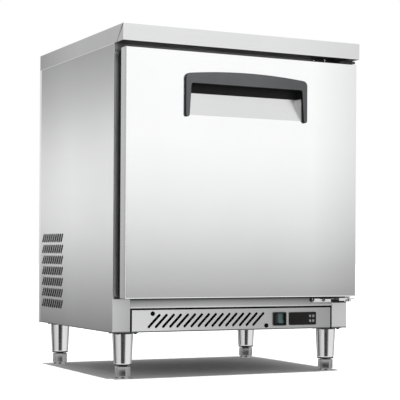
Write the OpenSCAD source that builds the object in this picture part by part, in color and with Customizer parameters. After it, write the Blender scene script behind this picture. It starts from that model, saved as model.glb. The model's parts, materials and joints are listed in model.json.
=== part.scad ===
// Undercounter refrigerated cabinet with one solid door, on four adjustable legs.
// +X is to the right of someone facing the door, +Y runs to the back, +Z is up.
// The origin is on the floor, under the middle of the whole object.

/* [Cabinet] */
// Width of the carcass and of the worktop
body_w = 700; // [690:10:900]
// Depth of the carcass, from its front plane to its back
body_d = 570; // [550:10:700]
// Height from the underside of the carcass to the top of the worktop
body_h = 780; // [740:10:860]
// Thickness of the steel sheet
sheet = 1; // [0.8:0.1:1.4]
// Thickness of the insulated side and back walls
wall_t = 50; // [44:1:60]
// Outer radius of the folded edges of the sheet
fold_r = 2.5; // [2:0.5:4]

/* [Worktop] */
// Height of the folded apron
apron_h = 44; // [36:1:56]
// Reach of the worktop in front of the carcass
overhang = 60; // [58:1:66]

/* [Door] */
// Distance from the side of the cabinet to the edge of the door
door_inset = 9; // [6:1:12]
// Gap between the worktop and the door
door_top_gap = 15; // [13:1:20]
// Gap between the base and the door
door_low_gap = 3; // [2:0.5:5]
// Depth of the folded outer skin of the door
skin_d = 34; // [33:0.5:36]
// Width of the magnetic seal
gasket_w = 20; // [16:1:24]
// Distance from the edge of the door to the seal
gasket_inset = 5; // [4:0.5:8]
// Distance from the edge of the door to the axis of the hinge
hinge_inset = 7; // [6.5:0.5:9]
// Distance from the front plane of the carcass to the axis of the hinge
hinge_reach = 34; // [34:0.5:38]
// Radius of the hinge pins
pin_r = 5; // [4:0.5:6]

/* [Handle] */
// Width of the handle
handle_w = 360; // [300:10:420]
// Height of the handle at its ends
handle_h = 112; // [106:1:130]
// Rise of the arched top edge
handle_rise = 9; // [5:1:14]
// Height of the bottom of the handle above the bottom of the door
handle_low = 464; // [400:4:480]
// How far the handle stands out from the door
handle_proud = 8; // [6:0.5:12]
// Depth of the finger recess behind the face of the door
recess_d = 26; // [22:0.5:28]
// Height of the bar of the handle
bar_h = 26; // [22:1:30]

/* [Base] */
// Height of the base, from the underside of the carcass to the top of its posts
base_h = 86; // [84:1:100]
// Width of the two corner posts
post_w = 48; // [42:1:56]
// Height of the kick panel
kick_h = 57; // [55:1:60]
// Gap at each end of the kick panel
kick_gap = 5; // [3:0.5:8]
// Most slots in the kick panel, where a short panel has room for fewer
slot_count = 16; // [8:1:16]
// Distance from slot to slot
slot_pitch = 20.4; // [18:0.2:21]
// Length of a slot
slot_len = 48; // [36:1:50]
// Width of a slot
slot_w = 6; // [4:0.5:7]

/* [Side vents] */
// Slots in each row
vent_cols = 10; // [4:1:10]
// Rows of slots
vent_rows = 7; // [3:1:7]
// Distance between slots in a row
vent_pitch = 17.3; // [14:0.1:18]
// Distance between rows
row_pitch = 31; // [28:1:31]
// Length of a side slot
vent_len = 26; // [20:1:28]
// Width of a side slot
vent_w = 5.5; // [4:0.5:7]

/* [Legs] */
// Height of the legs with the feet screwed home
leg_h = 120; // [110:1:150]
// Height of the foot that shows under the cup of the leg
foot_h = 34; // [30:1:40]
// Radius of the cup at its top
leg_r = 27; // [24:0.5:29]
// Radius of the cup at its lower rim
rim_r = 23; // [22:0.5:24]
// Distance from the side of the cabinet to the centre of a leg
leg_x = 44; // [36:1:60]
// Distance from the front plane to the centre of a front leg
leg_y = 38; // [36:1:70]
// Distance from the back to the centre of a rear leg
leg_back = 64; // [46:1:80]

/* [Controls] */
// Width and height of the switch frame
switch_size = 36; // [32:1:38]
// Width of the controller
control_w = 83; // [76:1:88]
// Height of the controller
control_h = 35; // [32:1:38]
// Travel of a button
button_travel = 0.8; // [0.5:0.1:1.2]
// Swing of the rocker from one side to the other
rocker_swing = 16; // [10:1:20]

/* [Cabin] */
// Depth of the cooler's cover, behind the shelves
cover_d = 76; // [70:1:90]
// Gap between a shelf and the cover of the cooler
shelf_back = 6; // [4:1:20]
// Height of the lower shelf above the step over the compressor
shelf_gap = 22; // [18:1:40]
// Height from the lower shelf to the upper one
shelf_rise = 176; // [125:25:176]
// Diameter of the shelf wires
wire_d = 5; // [4:0.5:6]
// Number of wires in a shelf
wire_count = 22; // [12:1:24]

/* [Cooling] */
// Depth of the compressor compartment
comp_d = 212; // [205:1:220]
// Height of the compressor compartment above the underside of the carcass
comp_h = 262; // [256:1:270]
// Thickness of the insulation over the compressor compartment
step_t = 45; // [36:1:50]
// Diameter of the condenser fan
fan_d = 170; // [140:5:180]
// Diameter of the cabin fan
cabin_fan_d = 120; // [100:5:125]
// Radius of the compressor shell
pot_r = 72; // [64:1:74]

/* [Hidden] */
round_fn = 48;
cut = 1;

// Levels of the carcass
under_z = leg_h;
top_z = under_z + body_h;
apron_z = top_z - apron_h;
half_w = body_w / 2;
in_x = half_w - sheet;
face_y = -overhang;
back_inset = 13;
back_y = body_d - back_inset - sheet;
row_shift = (overhang + handle_proud - body_d) / 2;
hem_w = 2.5;
hem_d = 12;
tab_h = 15;

// Door and opening
door_x = half_w - door_inset;
door_z0 = under_z + base_h + door_low_gap;
door_z1 = apron_z - door_top_gap;
skin_y = face_y + skin_d;
seat_t = 3;
seal_gap = 0.3;
seal_y = skin_y + seat_t;
land = gasket_inset + gasket_w + 8;
cabin_x = half_w - wall_t;
cabin_z0 = door_z0 + land;
cabin_z1 = door_z1 - land;
cabin_y1 = body_d - wall_t;
frame_y = 0.5;
frame_d = 14;
breaker_w = 8;
liner_t = 1;
hinge_x = door_x - hinge_inset;
hinge_y = -hinge_reach;

// Compressor compartment and the step over it
duct_z = under_z + kick_h + 5;
comp_y = back_y - comp_d;
comp_z = under_z + comp_h;
step_y = comp_y - step_t;
step_z = comp_z + step_t;
pan_top = under_z + 1.5;

// Handle and recess
handle_z = door_z0 + handle_low;
leg_tip_w = 15;
leg_top_w = 23.5;
bar_z = handle_h - bar_h;
recess_x = handle_w / 2 - leg_tip_w;
recess_z0 = handle_z + 5;
recess_z1 = handle_z + handle_h - 5;
slope_z = handle_z + bar_z - 22;
recess_y = face_y + recess_d;
cup_t = 2;
pan_t = 1.5;

// Base
kick_x = half_w - post_w - kick_gap;
kick_y = -sheet;
slot_x0 = 62 - kick_x;
slot_z = under_z + kick_h / 2;
switch_x = kick_x - 161;
control_x = kick_x - 89;
cap_offset = 24.5;
slot_room = switch_x - switch_size / 2 - cap_offset - 10 - slot_x0;
slots = min(slot_count, floor(slot_room / slot_pitch) + 1);
control_z = under_z + kick_h / 2 - 0.5;
arm_t = 4;
flange_h = 12;
low_room = 5;
top_room = 6;
function post_top(s) = under_z + base_h + (s > 0 ? door_low_gap - low_room - flange_h : 0);

// Shelves
upright_w = 24;
upright_t = 10;
clip_h = 12;
shelf_x = cabin_x - upright_t - 2;
shelf_y0 = frame_d + 4;
shelf_d = cabin_y1 - cover_d - shelf_back - shelf_y0;
upright_y = [shelf_y0 + 52, shelf_y0 + shelf_d - 38];
shelf_low_z = step_z + shelf_gap;
shelf_zs = [shelf_low_z, shelf_low_z + shelf_rise];
side_d = 8;

// Cabin cooler
cover_t = 1.5;
cover_y = cabin_y1 - cover_d;
cover_h = 172;
cover_z = cabin_z1 - cover_h;
cover_x = 232;
cooler_z = cover_z + cover_h / 2;
cabin_fan_x = -150;
cabin_fan_y = cover_y + cover_t + 8;
cabin_motor_y = cabin_fan_y + 24;
coil_x0 = -76;
coil_x1 = 216;

// Condenser and compressor
cond_z0 = under_z + 30;
fan_z = cond_z0 + fan_d / 2 + 12;
fan_y = comp_y + comp_d / 2;
cond_x0 = -in_x + 12;
cond_t = 60;
cond_w = 190;
cond_h = 204;
shroud_x = cond_x0 + cond_t;
shroud_d = 44;
fan_x = shroud_x + 12;
motor_x = shroud_x + shroud_d + 2;
pot_x = half_w - 240;
pot_y = comp_y + comp_d / 2;
pot_z = pan_top + 16;
pot_h = 168;
tray_x0 = half_w - 132;
tray_x1 = half_w - 20;
gland_x = half_w - 100;
gland_z = under_z + 44;

// A block between two corners
module block(lo, hi) {
    translate(lo) cube(hi - lo);
}

// A profile drawn in X and Z, given thickness from y0 to y1
module along_y(y0, y1) {
    translate([0, y1, 0]) rotate([90, 0, 0]) linear_extrude(y1 - y0) children();
}

// A profile drawn in Y and Z, given thickness from x0 to x1
module along_x(x0, x1) {
    translate([x0, 0, 0]) rotate([90, 0, 90]) linear_extrude(x1 - x0) children();
}

// A rectangle between two corners
module rect(lo, hi) {
    translate(lo) square(hi - lo);
}

// A rectangle with round corners, drawn as four discs and two bars
module round_rect(lo, hi, r) {
    rect(lo + [r, 0], hi - [r, 0]);
    rect(lo + [0, r], hi - [0, r]);
    for (x = [lo[0] + r, hi[0] - r], y = [lo[1] + r, hi[1] - r])
        translate([x, y]) circle(r, $fn = round_fn);
}

// A slot with round ends
module slot(len, w) {
    square([len - w, w], center = true);
    for (s = [-1, 1]) translate([s * (len - w) / 2, 0]) circle(d = w, $fn = 24);
}

// A rectangular ring in X and Z, around the door opening
module ring(x, z0, z1, w) {
    difference() {
        rect([-x, z0], [x, z1]);
        rect([w - x, z0 + w], [x - w, z1 - w]);
    }
}

// Everything is drawn with y = 0 at the front plane of the carcass and put in place here
module placed() {
    translate([0, row_shift, 0]) children();
}

// A block whose front, side and top edges are folded round
module folded_box(x, y0, y1, z0, z1, r) {
    intersection() {
        linear_extrude(z1) round_rect([-x, y0], [x, y1], r);
        along_x(-x, x) round_rect([y0, z0 - 2 * r], [y1, z1], r);
        along_y(y0, y1) round_rect([-x, z0 - 2 * r], [x, z1], r);
        block([-x, y0, z0], [x, y1, z1]);
    }
}

// Worktop: a folded pan with its soffit in front and mitred corners
module worktop() color("silver") placed() {
    lip = overhang + frame_y;
    difference() {
        folded_box(half_w, face_y, body_d, apron_z, top_z, fold_r);
        folded_box(in_x, face_y + sheet, body_d - sheet, apron_z + sheet, top_z - sheet,
            fold_r - sheet);
        block([-in_x, face_y + lip, apron_z - cut], [in_x, body_d - back_inset, apron_z + 2 * sheet]);
        for (s = [-1, 1]) mitre_groove(s);
    }
}

// The mitre seam on each side of the worktop's nose
module mitre_groove(s) {
    groove = 0.5;
    foot = [-16, apron_z];
    head = [-52, top_z];
    run = head - foot;
    turn = atan2(run[1], run[0]);
    along_x(s > 0 ? half_w - groove : -half_w - groove, s > 0 ? half_w + groove : -half_w + groove)
        translate(foot) rotate(turn) translate([-4, -groove / 2]) square([norm(run) + 8, groove]);
}

// Slots of one side vent, in Y and Z
module vent_field() {
    last_y = back_y - 18;
    low_z = under_z + 54;
    lean = 58;
    for (i = [0 : vent_cols - 1], j = [0 : vent_rows - 1])
        translate([last_y - 6 - vent_pitch * i, low_z + row_pitch * j])
            rotate(180 - lean) slot(vent_len, vent_w);
}

// Side panel: sheet with a front hem, a back return, a foot flange and a joggled tab
module side_panel(s) {
    mirror([s > 0 ? 1 : 0, 0, 0]) {
        difference() {
            union() {
                along_x(-half_w, -in_x) rect([0, under_z], [body_d, apron_z]);
                block([-in_x - 0.01, 0, post_top(s)], [-half_w + hem_w, hem_d, apron_z]);
                block([-in_x - 0.01, body_d - sheet, under_z], [-in_x + hem_d, body_d, apron_z]);
                block([-in_x - 0.01, hem_d, under_z], [-in_x + hem_d, body_d, under_z + sheet]);
                block([-in_x, hem_d, apron_z - tab_h], [-in_x + sheet, back_y - hem_d, apron_z + tab_h]);
            }
            along_x(-half_w - cut, -in_x + cut) vent_field();
        }
    }
}
module side_panel_left() color("silver") placed() side_panel(-1);
module side_panel_right() color("silver") placed() side_panel(1);

// Back panel: flat sheet with a slotted field over the compartment and a hole for the gland
module back_panel() color("gainsboro") placed() {
    gland_r = 8;
    difference() {
        along_y(back_y, back_y + sheet) difference() {
            rect([-in_x, under_z + sheet], [in_x, apron_z]);
            for (i = [-9 : 9], j = [0 : 4])
                translate([i * 28, under_z + 90 + row_pitch * j]) rotate(90) slot(vent_len, vent_w);
        }
        translate([gland_x, back_y - cut, gland_z]) rotate([-90, 0, 0])
            cylinder(r = gland_r, h = sheet + 2 * cut, $fn = round_fn);
    }
}

// Outline of the steel frame round the opening, notched for the corner posts
module front_frame_outline() {
    frame_x = half_w - hem_w;
    difference() {
        rect([-frame_x, duct_z], [frame_x, apron_z]);
        rect([-cabin_x - breaker_w, cabin_z0 - breaker_w], [cabin_x + breaker_w, cabin_z1 + breaker_w]);
        for (s = [-1, 1]) translate([s * half_w, 0])
            square([2 * post_w + 1, 2 * post_top(s)], center = true);
    }
}

// Front frame: face plate, a lip round the opening and a lip along its lower edge
module front_frame() color("darkgray") placed() {
    open_x = cabin_x + breaker_w;
    lip_d = 10;
    along_y(frame_y, frame_y + sheet) front_frame_outline();
    along_y(frame_y, frame_y + lip_d) difference() {
        rect([-open_x - sheet, cabin_z0 - breaker_w - sheet], [open_x + sheet, cabin_z1 + breaker_w + sheet]);
        rect([-open_x, cabin_z0 - breaker_w], [open_x, cabin_z1 + breaker_w]);
    }
    block([post_w + 0.5 - half_w, frame_y, duct_z], [half_w - post_w - 0.5, frame_y + lip_d, duct_z + sheet]);
}

// Breaker frame: plastic strip between the steel frame and the liner
module breaker_frame() color("lightgray") placed() {
    w = breaker_w;
    difference() {
        along_y(frame_y, frame_d) ring(cabin_x + w, cabin_z0 - w, cabin_z1 + w, w);
        along_y(frame_y + 4, frame_d - 4) ring(cabin_x + 2.5, cabin_z0 - 2.5, cabin_z1 + 2.5, 0.9);
    }
}

// Side outline of the cabin in Y and Z, from y0 at the front, grown by a wall t
function cabin_outline(y0, t) = [
    [y0, cabin_z0 - t], [step_y + t, cabin_z0 - t], [step_y + t, step_z - t],
    [cabin_y1 + t, step_z - t], [cabin_y1 + t, cabin_z1 + t], [y0, cabin_z1 + t]
];

// Cabin liner: box with a step over the compressor compartment, open in front
module cabin_liner() color("whitesmoke") placed() {
    difference() {
        along_x(-cabin_x - liner_t, cabin_x + liner_t) polygon(cabin_outline(frame_d, liner_t));
        along_x(-cabin_x, cabin_x) polygon(cabin_outline(frame_d - cut, 0));
    }
}

// Cabinet foam: fills the walls between the liner and the outer sheets
module cabinet_foam() color("khaki") placed() {
    foam_y = frame_y + sheet;
    lip_x = cabin_x + breaker_w + sheet;
    difference() {
        union() {
            along_x(-in_x, in_x) polygon([
                [foam_y, duct_z + sheet], [comp_y - sheet, duct_z + sheet],
                [comp_y - sheet, comp_z + sheet], [back_y, comp_z + sheet],
                [back_y, apron_z], [foam_y, apron_z]]);
            block([fold_r - in_x, foam_y, apron_z], [in_x - fold_r, back_y, top_z - sheet]);
        }
        along_x(-cabin_x - liner_t, cabin_x + liner_t) polygon(cabin_outline(-cut, liner_t));
        block([-lip_x, -cut, cabin_z0 - breaker_w - sheet], [lip_x, frame_d, cabin_z1 + breaker_w + sheet]);
        for (s = [-1, 1]) {
            block([s > 0 ? half_w - hem_w : -half_w, 0, under_z], [s > 0 ? half_w : hem_w - half_w, hem_d, apron_z]);
            block([s > 0 ? in_x - sheet : -in_x, hem_d, apron_z - tab_h],
                [s > 0 ? in_x : sheet - in_x, back_y, apron_z + cut]);
            block([s > 0 ? half_w - post_w - 0.5 : -half_w, 0, under_z],
                [s > 0 ? half_w : post_w + 0.5 - half_w, post_depth + 0.5, post_top(s)]);
        }
        block([-half_w, 0, duct_z], [half_w, frame_y + 10, duct_z + sheet + 0.01]);
    }
}

// Bottom panel: folded sheet under the foam and round the front of the compartment
module bottom_panel() color("silver") placed() {
    panel_y = frame_y + 10;
    difference() {
        along_x(-in_x, in_x) polygon([
            [panel_y, duct_z], [comp_y, duct_z], [comp_y, comp_z], [back_y, comp_z],
            [back_y, comp_z + sheet], [comp_y - sheet, comp_z + sheet],
            [comp_y - sheet, duct_z + sheet], [panel_y, duct_z + sheet]]);
        for (s = [-1, 1]) translate([s * half_w, 0, duct_z])
            cube([2 * post_w + 1, 2 * (post_depth + 0.5), 4 * sheet], center = true);
    }
}

// Base pan: chassis plate that carries the compressor, with upturned flanges
module base_pan() color("silver") placed() {
    pan_x = in_x - hem_d;
    rib_h = 8;
    block([-pan_x, hem_d, under_z], [pan_x, back_y, pan_top]);
    block([-kick_x, hem_d, pan_top - 0.01], [kick_x, hem_d + 1.5, pan_top + rib_h]);
    block([-cabin_x, comp_y, pan_top - 0.01], [cabin_x, comp_y + 1.5, pan_top + rib_h]);
}

// Corner post: folded channel in front of the carcass
post_depth = 36;
module corner_post(s) {
    top = post_top(s);
    mirror([s > 0 ? 1 : 0, 0, 0]) difference() {
        union() {
            linear_extrude(top) round_rect([-half_w, kick_y], [post_w - half_w, 2 * fold_r], fold_r - 1);
            block([hem_w - half_w, sheet, pan_top], [post_w - half_w, post_depth, top]);
        }
        block([-half_w - cut, kick_y - cut, -cut], [half_w, body_d, under_z]);
        block([-half_w - cut, 0, -cut], [hem_w - half_w, body_d, top_z]);
        block([hem_w + sheet - half_w, 0, pan_top], [post_w - sheet - half_w, body_d, top - sheet]);
        block([-half_w - cut, 0, under_z - cut], [post_w + cut - half_w, body_d, pan_top]);
    }
}
module corner_post_left() color("silver") placed() corner_post(-1);
module corner_post_right() color("silver") placed() corner_post(1);

// Openings of the kick panel for the switch and the controller, in X and Z
module control_cutouts(extra) {
    s = switch_size / 2 - 1.5 + extra;
    rect([switch_x - s, control_z - s], [switch_x + s, control_z + s]);
    rect([control_x - control_w / 2 + 3 - extra, control_z - control_h / 2 + 3 - extra],
        [control_x + control_w / 2 - 3 + extra, control_z + control_h / 2 - 3 + extra]);
}

// Places of the two caps: above the first slot and below the last one
cap_r = 6;
cap_places = [
    [slot_x0 - 4, slot_z + slot_len * 0.4],
    [slot_x0 + slot_pitch * (slots - 1) + cap_offset, slot_z - slot_len * 0.37]
];

// Kick panel: folded front cover with slanted slots, held by two capped screws
module kick_panel() color("lightgray") placed() {
    return_d = 12;
    bore_r = 2.5;
    difference() {
        union() {
            along_y(kick_y, 0) difference() {
                rect([-kick_x, under_z], [kick_x, under_z + kick_h]);
                for (i = [0 : slots - 1])
                    translate([slot_x0 + slot_pitch * i, slot_z]) rotate(45) slot(slot_len, slot_w);
                control_cutouts(0.3);
            }
            for (z = [under_z, under_z + kick_h - sheet])
                block([-kick_x, -0.01, z], [kick_x, return_d - 0.5, z + sheet]);
            for (s = [-1, 1])
                block([s > 0 ? kick_x - sheet : -kick_x, -0.01, under_z],
                    [s > 0 ? kick_x : sheet - kick_x, return_d - 0.5, under_z + kick_h]);
        }
        for (p = cap_places) translate([p[0], kick_y - cut, p[1]]) rotate([-90, 0, 0])
            cylinder(r = bore_r, h = sheet + 2 * cut, $fn = round_fn);
    }
}

// Domed black caps over the screws of the kick panel, each with its shank
module kick_caps() color("black") placed() {
    dome = 2.5;
    for (p = cap_places) translate([p[0], kick_y, p[1]]) rotate([90, 0, 0]) rotate_extrude($fn = round_fn)
        polygon([[0, -10], [2.45, -10], [2.45, 0], [cap_r, 0], [cap_r, 0.8], [cap_r - 0.8, dome - 0.6],
            [cap_r - 2.4, dome], [0, dome]]);
}

// Switch frame: raised square rim round a deep well, with a body behind the panel
bezel_proud = 7;
well_x = [-13, 14.5];
well_z = 15;
module switch_bezel() color("black") placed() {
    s = switch_size / 2;
    body_s = s - 1.5;
    difference() {
        union() {
            along_y(kick_y - bezel_proud, kick_y) translate([switch_x, control_z]) round_rect([-s, -s], [s, s], 2);
            along_y(kick_y - 0.01, 22) translate([switch_x, control_z]) rect([-body_s, -body_s], [body_s, body_s]);
        }
        block([switch_x + well_x[0], kick_y - bezel_proud - cut, control_z - well_z],
            [switch_x + well_x[1], 14, control_z + well_z]);
        translate([switch_x + well_x[0] - 1.8, rocker_y, control_z]) rotate([0, 90, 0])
            cylinder(r = 2.05, h = well_x[1] - well_x[0] + 3.6, $fn = round_fn);
    }
}

// Rocker: two faced key on a pin across the well, resting with its upper half pressed in
rocker_y = 5;
module switch_rocker() color("darkseagreen") placed() {
    half = well_z - 0.8;
    x0 = switch_x + well_x[0] + 0.4;
    x1 = switch_x + well_x[1] - 0.4;
    translate([0, rocker_y, control_z]) rotate([-rocker_swing / 2, 0, 0]) union() {
        along_x(x0, x1) polygon([[-8.6, half - 1.6], [-7.6, half - 0.8], [-4, half - 0.4], [4, 5], [4, -5],
            [-4, 0.4 - half], [-7.6, 0.8 - half], [-8.6, 1.6 - half], [-6.4, 0]]);
        translate([x0 - 1.4, 0, 0]) rotate([0, 90, 0]) cylinder(r = 2, h = x1 - x0 + 2.8, $fn = round_fn);
    }
}

// Controller: flat case through the kick panel, with a window and four keys
case_proud = 3.5;
key_d = 6;
key_x = [control_w / 2 - 19.5, control_w / 2 - 9.5];
key_z = [6.5, -6.5];
module controller_case() color([0.08, 0.08, 0.09]) placed() {
    hx = control_w / 2;
    hz = control_h / 2;
    y0 = kick_y - case_proud;
    difference() {
        union() {
            along_y(y0, kick_y) translate([control_x, control_z]) round_rect([-hx, -hz], [hx, hz], 3);
            along_y(kick_y - 0.01, 48) translate([control_x, control_z]) rect([3 - hx, 3 - hz], [hx - 3, hz - 3]);
        }
        block([control_x - hx + 4, y0 - cut, control_z - hz + 5], [control_x + hx - 26, y0 + 1.2, control_z + hz - 5]);
        for (x = key_x, z = key_z)
            along_y(y0 - cut, y0 + 3) translate([control_x + x, control_z + z])
                round_rect([-key_d / 2 - 0.2, -key_d / 2 - 0.2], [key_d / 2 + 0.2, key_d / 2 + 0.2], 1.2);
    }
}

module controller_window() color([0.15, 0.02, 0.02]) placed() {
    hx = control_w / 2;
    hz = control_h / 2;
    y0 = kick_y - case_proud;
    block([control_x - hx + 4, y0 - 0.3, control_z - hz + 5], [control_x + hx - 26, y0 + 1.2, control_z + hz - 5]);
}

// One key of the controller, standing out by a little more than its travel
module key(i, j) color("gray") placed() {
    y0 = kick_y - case_proud;
    tip = y0 - button_travel - 0.4;
    r = key_d / 2;
    along_y(tip, y0 + 3 - button_travel - 0.2) translate([control_x + key_x[i], control_z + key_z[j]])
        round_rect([-r, -r], [r, r], 1);
}
module button_set() key(0, 0);
module button_up() key(1, 0);
module button_defrost() key(0, 1);
module button_down() key(1, 1);

// Leg: square flange, tapered cup and rolled lower rim, bored for the stem of its foot
stem_r = 10;
flange_t = 2;
module leg(sx, sy) color("silver") placed() {
    rim = 3;
    translate(leg_place(sx, sy)) {
        difference() {
            block([-32, -32, leg_h - flange_t], [32, 32, leg_h]);
            cylinder(r = stem_r + 2, h = leg_h + cut, $fn = round_fn);
        }
        rotate_extrude($fn = round_fn) polygon(concat(
            [[stem_r + 0.05, foot_h], [rim_r - rim, foot_h]],
            [for (a = [-75 : 15 : 0]) [rim_r - rim + rim * cos(a), foot_h + rim + rim * sin(a)]],
            [[leg_r, leg_h - flange_t + 0.01], [leg_r - 2, leg_h - flange_t + 0.01], [rim_r - 3, foot_h + 12],
            [stem_r + 6, foot_h + 12], [stem_r + 6, leg_h - 30], [stem_r + 0.05, leg_h - 30]]));
    }
}
function leg_place(sx, sy) = [sx * (half_w - leg_x), sy < 0 ? leg_y : body_d - leg_back, 0];
module leg_front_left() leg(-1, -1);
module leg_front_right() leg(1, -1);
module leg_rear_left() leg(-1, 1);
module leg_rear_right() leg(1, 1);

// Foot: six-sided body on a round pad, with its stem up inside the leg
module foot(sx, sy) color("silver") placed() {
    across = 36;
    hex_r = across / 2 / cos(30);
    pad_h = 6;
    translate(leg_place(sx, sy)) {
        translate([0, 0, pad_h]) cylinder(r = hex_r, h = foot_h - pad_h - 0.3, $fn = 6);
        rotate_extrude($fn = round_fn) polygon([[0, 0], [across / 2 - 3, 0], [across / 2 - 0.8, 1],
            [across / 2 - 0.2, 3], [across / 2 - 0.2, pad_h + 1], [0, pad_h + 1]]);
        translate([0, 0, foot_h - 1]) cylinder(r = stem_r, h = leg_h - 34 - foot_h, $fn = round_fn);
    }
}
module foot_front_left() foot(-1, -1);
module foot_front_right() foot(1, -1);
module foot_rear_left() foot(-1, 1);
module foot_rear_right() foot(1, 1);

// Hinge brackets: a flange on the frame, an arm under or over the door, and a pin
pin_len = 14;
module hinge_bracket(z_arm, up) {
    arm_r = 15;
    head_h = up > 0 ? 6 : 3;
    x0 = hinge_x - 36;
    x1 = half_w - hem_w;
    f_z0 = up > 0 ? z_arm + arm_t - flange_h : apron_z - flange_h;
    y1 = frame_y;
    difference() {
        union() {
            translate([0, 0, z_arm]) linear_extrude(arm_t) {
                rect([x0, hinge_y], [x1, y1]);
                translate([hinge_x, hinge_y]) circle(arm_r, $fn = round_fn);
                rect([x0, hinge_y - arm_r + 4], [hinge_x, hinge_y + 1]);
            }
            along_y(y1 - 3, y1) {
                rect([x0 - 60, f_z0], [x1, f_z0 + flange_h]);
                translate([x0 - 60, f_z0 + flange_h / 2]) circle(flange_h / 2, $fn = round_fn);
            }
            translate([hinge_x, hinge_y, up > 0 ? z_arm : z_arm - top_room - pin_len])
                cylinder(r = pin_r, h = arm_t + pin_len + (up > 0 ? low_room : top_room), $fn = round_fn);
            translate([hinge_x, hinge_y, up > 0 ? z_arm - head_h : z_arm + arm_t - 0.01])
                cylinder(r = pin_r + 2.5, h = head_h + 0.01, $fn = round_fn);
        }
        for (x = hinge_screw_xs) translate([x, y1 - 3 - cut, f_z0 + flange_h / 2]) rotate([-90, 0, 0])
            cylinder(r = 3.05, h = 3 + 2 * cut, $fn = round_fn);
    }
}

arm_low_z = door_z0 - low_room - arm_t;
arm_top_z = door_z1 + top_room;
hinge_screw_xs = [hinge_x - 36 - 58, hinge_x - 36 - 24];
module hinge_bracket_bottom() color("silver") placed() hinge_bracket(arm_low_z, 1);
module hinge_bracket_top() color("silver") placed() hinge_bracket(arm_top_z, -1);

// Screws of both brackets: domed heads on plain shanks
module hinge_screws() color("gainsboro") placed() {
    for (x = hinge_screw_xs, z = [arm_low_z + arm_t - flange_h / 2, apron_z - flange_h / 2])
        translate([x, frame_y - 3, z]) rotate([90, 0, 0]) rotate_extrude($fn = round_fn)
            polygon([[0, -3], [3, -3], [3, 0], [5, 0], [4.6, 1.4], [3.2, 2.4], [0, 2.8]]);
}

// Handle outline: points run round the arch, drawn in by d from its edge
handle_corner = 14;
bar_fillet = 5;
tip_r = leg_tip_w / 2;
function arc(c, r, a0, a1, n) = [for (i = [0 : n]) c + r * [cos(a0 + (a1 - a0) * i / n), sin(a0 + (a1 - a0) * i / n)]];
function arch_z(x) = handle_h + handle_rise * (1 - pow(x / (handle_w / 2 - handle_corner), 2));
function half_outer(d) = let (hw = handle_w / 2) concat(
    arc([hw - tip_r, tip_r], tip_r - d, 270, 360, 5),
    arc([hw - handle_corner, handle_h - handle_corner], handle_corner - d, 0, 84, 7),
    [for (i = [1 : 8]) let (x = (hw - handle_corner) * (1 - i / 8)) [x, arch_z(x) - d]]
);
function half_inner(d) = let (hw = handle_w / 2, bar_x = hw - leg_top_w - bar_fillet) concat(
    arc([hw - tip_r, tip_r], tip_r - d, 270, 180, 5),
    arc([bar_x, bar_z - bar_fillet], bar_fillet + d, 0, 90, 7),
    [for (i = [1 : 8]) [bar_x * (1 - i / 8), bar_z + d]]
);
function flip(p) = [-p[0], p[1]];
// Outline of the whole handle: over the top from right to left, and back along the inside
function handle_outline(d) = let (outer = half_outer(d), inner = half_inner(d), m = len(outer) - 1) concat(
    outer,
    [for (i = [m - 1 : -1 : 0]) flip(outer[i])],
    [for (i = [1 : m]) flip(inner[i])],
    [for (i = [m - 1 : -1 : 1]) inner[i]]
);
// Faces that join the outer and inner halves of an outline of 4 * m points
function cap_faces(m) = concat(
    [[0, 1, 4 * m - 1], [2 * m - 1, 2 * m, 2 * m + 1]],
    [for (i = [1 : m - 1]) each [[i, i + 1, 4 * m - i - 1, 4 * m - i],
        [2 * m - i - 1, 2 * m - i, 2 * m + i, 2 * m + i + 1]]]
);

// Handle bezel: arched bar and two tapered legs with a rolled front edge
module handle_bezel() color([0.36, 0.37, 0.38]) placed() {
    layers = [[0, 0], [handle_proud * 0.7, 0.5], [handle_proud * 0.9, 1.5], [handle_proud, 3.2]];
    rings = [for (l = layers) [for (p = handle_outline(l[1])) [p[0], face_y - l[0], handle_z + p[1]]]];
    n = len(rings[0]);
    last = len(layers) - 1;
    polyhedron(
        points = [for (r = rings, p = r) p],
        faces = concat(
            cap_faces(n / 4),
            [for (k = [0 : last - 1], i = [0 : n - 1])
                [k * n + i, (k + 1) * n + i, (k + 1) * n + (i + 1) % n, k * n + (i + 1) % n]],
            [for (q = cap_faces(n / 4)) [for (j = [len(q) - 1 : -1 : 0]) last * n + q[j]]]));
}

// Handle cup: black pocket behind the bar, open in front
module handle_cup() color("black") placed() {
    difference() {
        block([-recess_x - cup_t, face_y, slope_z], [recess_x + cup_t, recess_y + cup_t, recess_z1 + cup_t]);
        block([-recess_x, face_y - cut, slope_z - cut], [recess_x, recess_y, recess_z1]);
    }
}

// Handle pan: sloped scoop from the face of the door up to the pocket, with its two cheeks
module handle_pan() color("gainsboro") placed() {
    front = face_y;
    x = recess_x + cup_t;
    along_x(-x, x) polygon([[front, recess_z0], [recess_y, slope_z],
        [recess_y, slope_z - 2.5 * pan_t], [front + sheet, recess_z0 - pan_t]]);
    for (s = [-1, 1]) along_x(s > 0 ? recess_x : -x, s > 0 ? x : -recess_x)
        polygon([[front, recess_z0], [recess_y, slope_z], [front, slope_z]]);
}

// Shape that the handle's pocket and scoop take out of the door
module recess_void() {
    x = recess_x + cup_t;
    along_x(-x, x) polygon([
        [face_y - cut, recess_z0], [face_y, recess_z0], [face_y + sheet, recess_z0 - pan_t],
        [recess_y, slope_z - 2.5 * pan_t], [recess_y, slope_z], [recess_y + cup_t, slope_z],
        [recess_y + cup_t, recess_z1 + cup_t], [face_y - cut, recess_z1 + cup_t]]);
}

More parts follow.
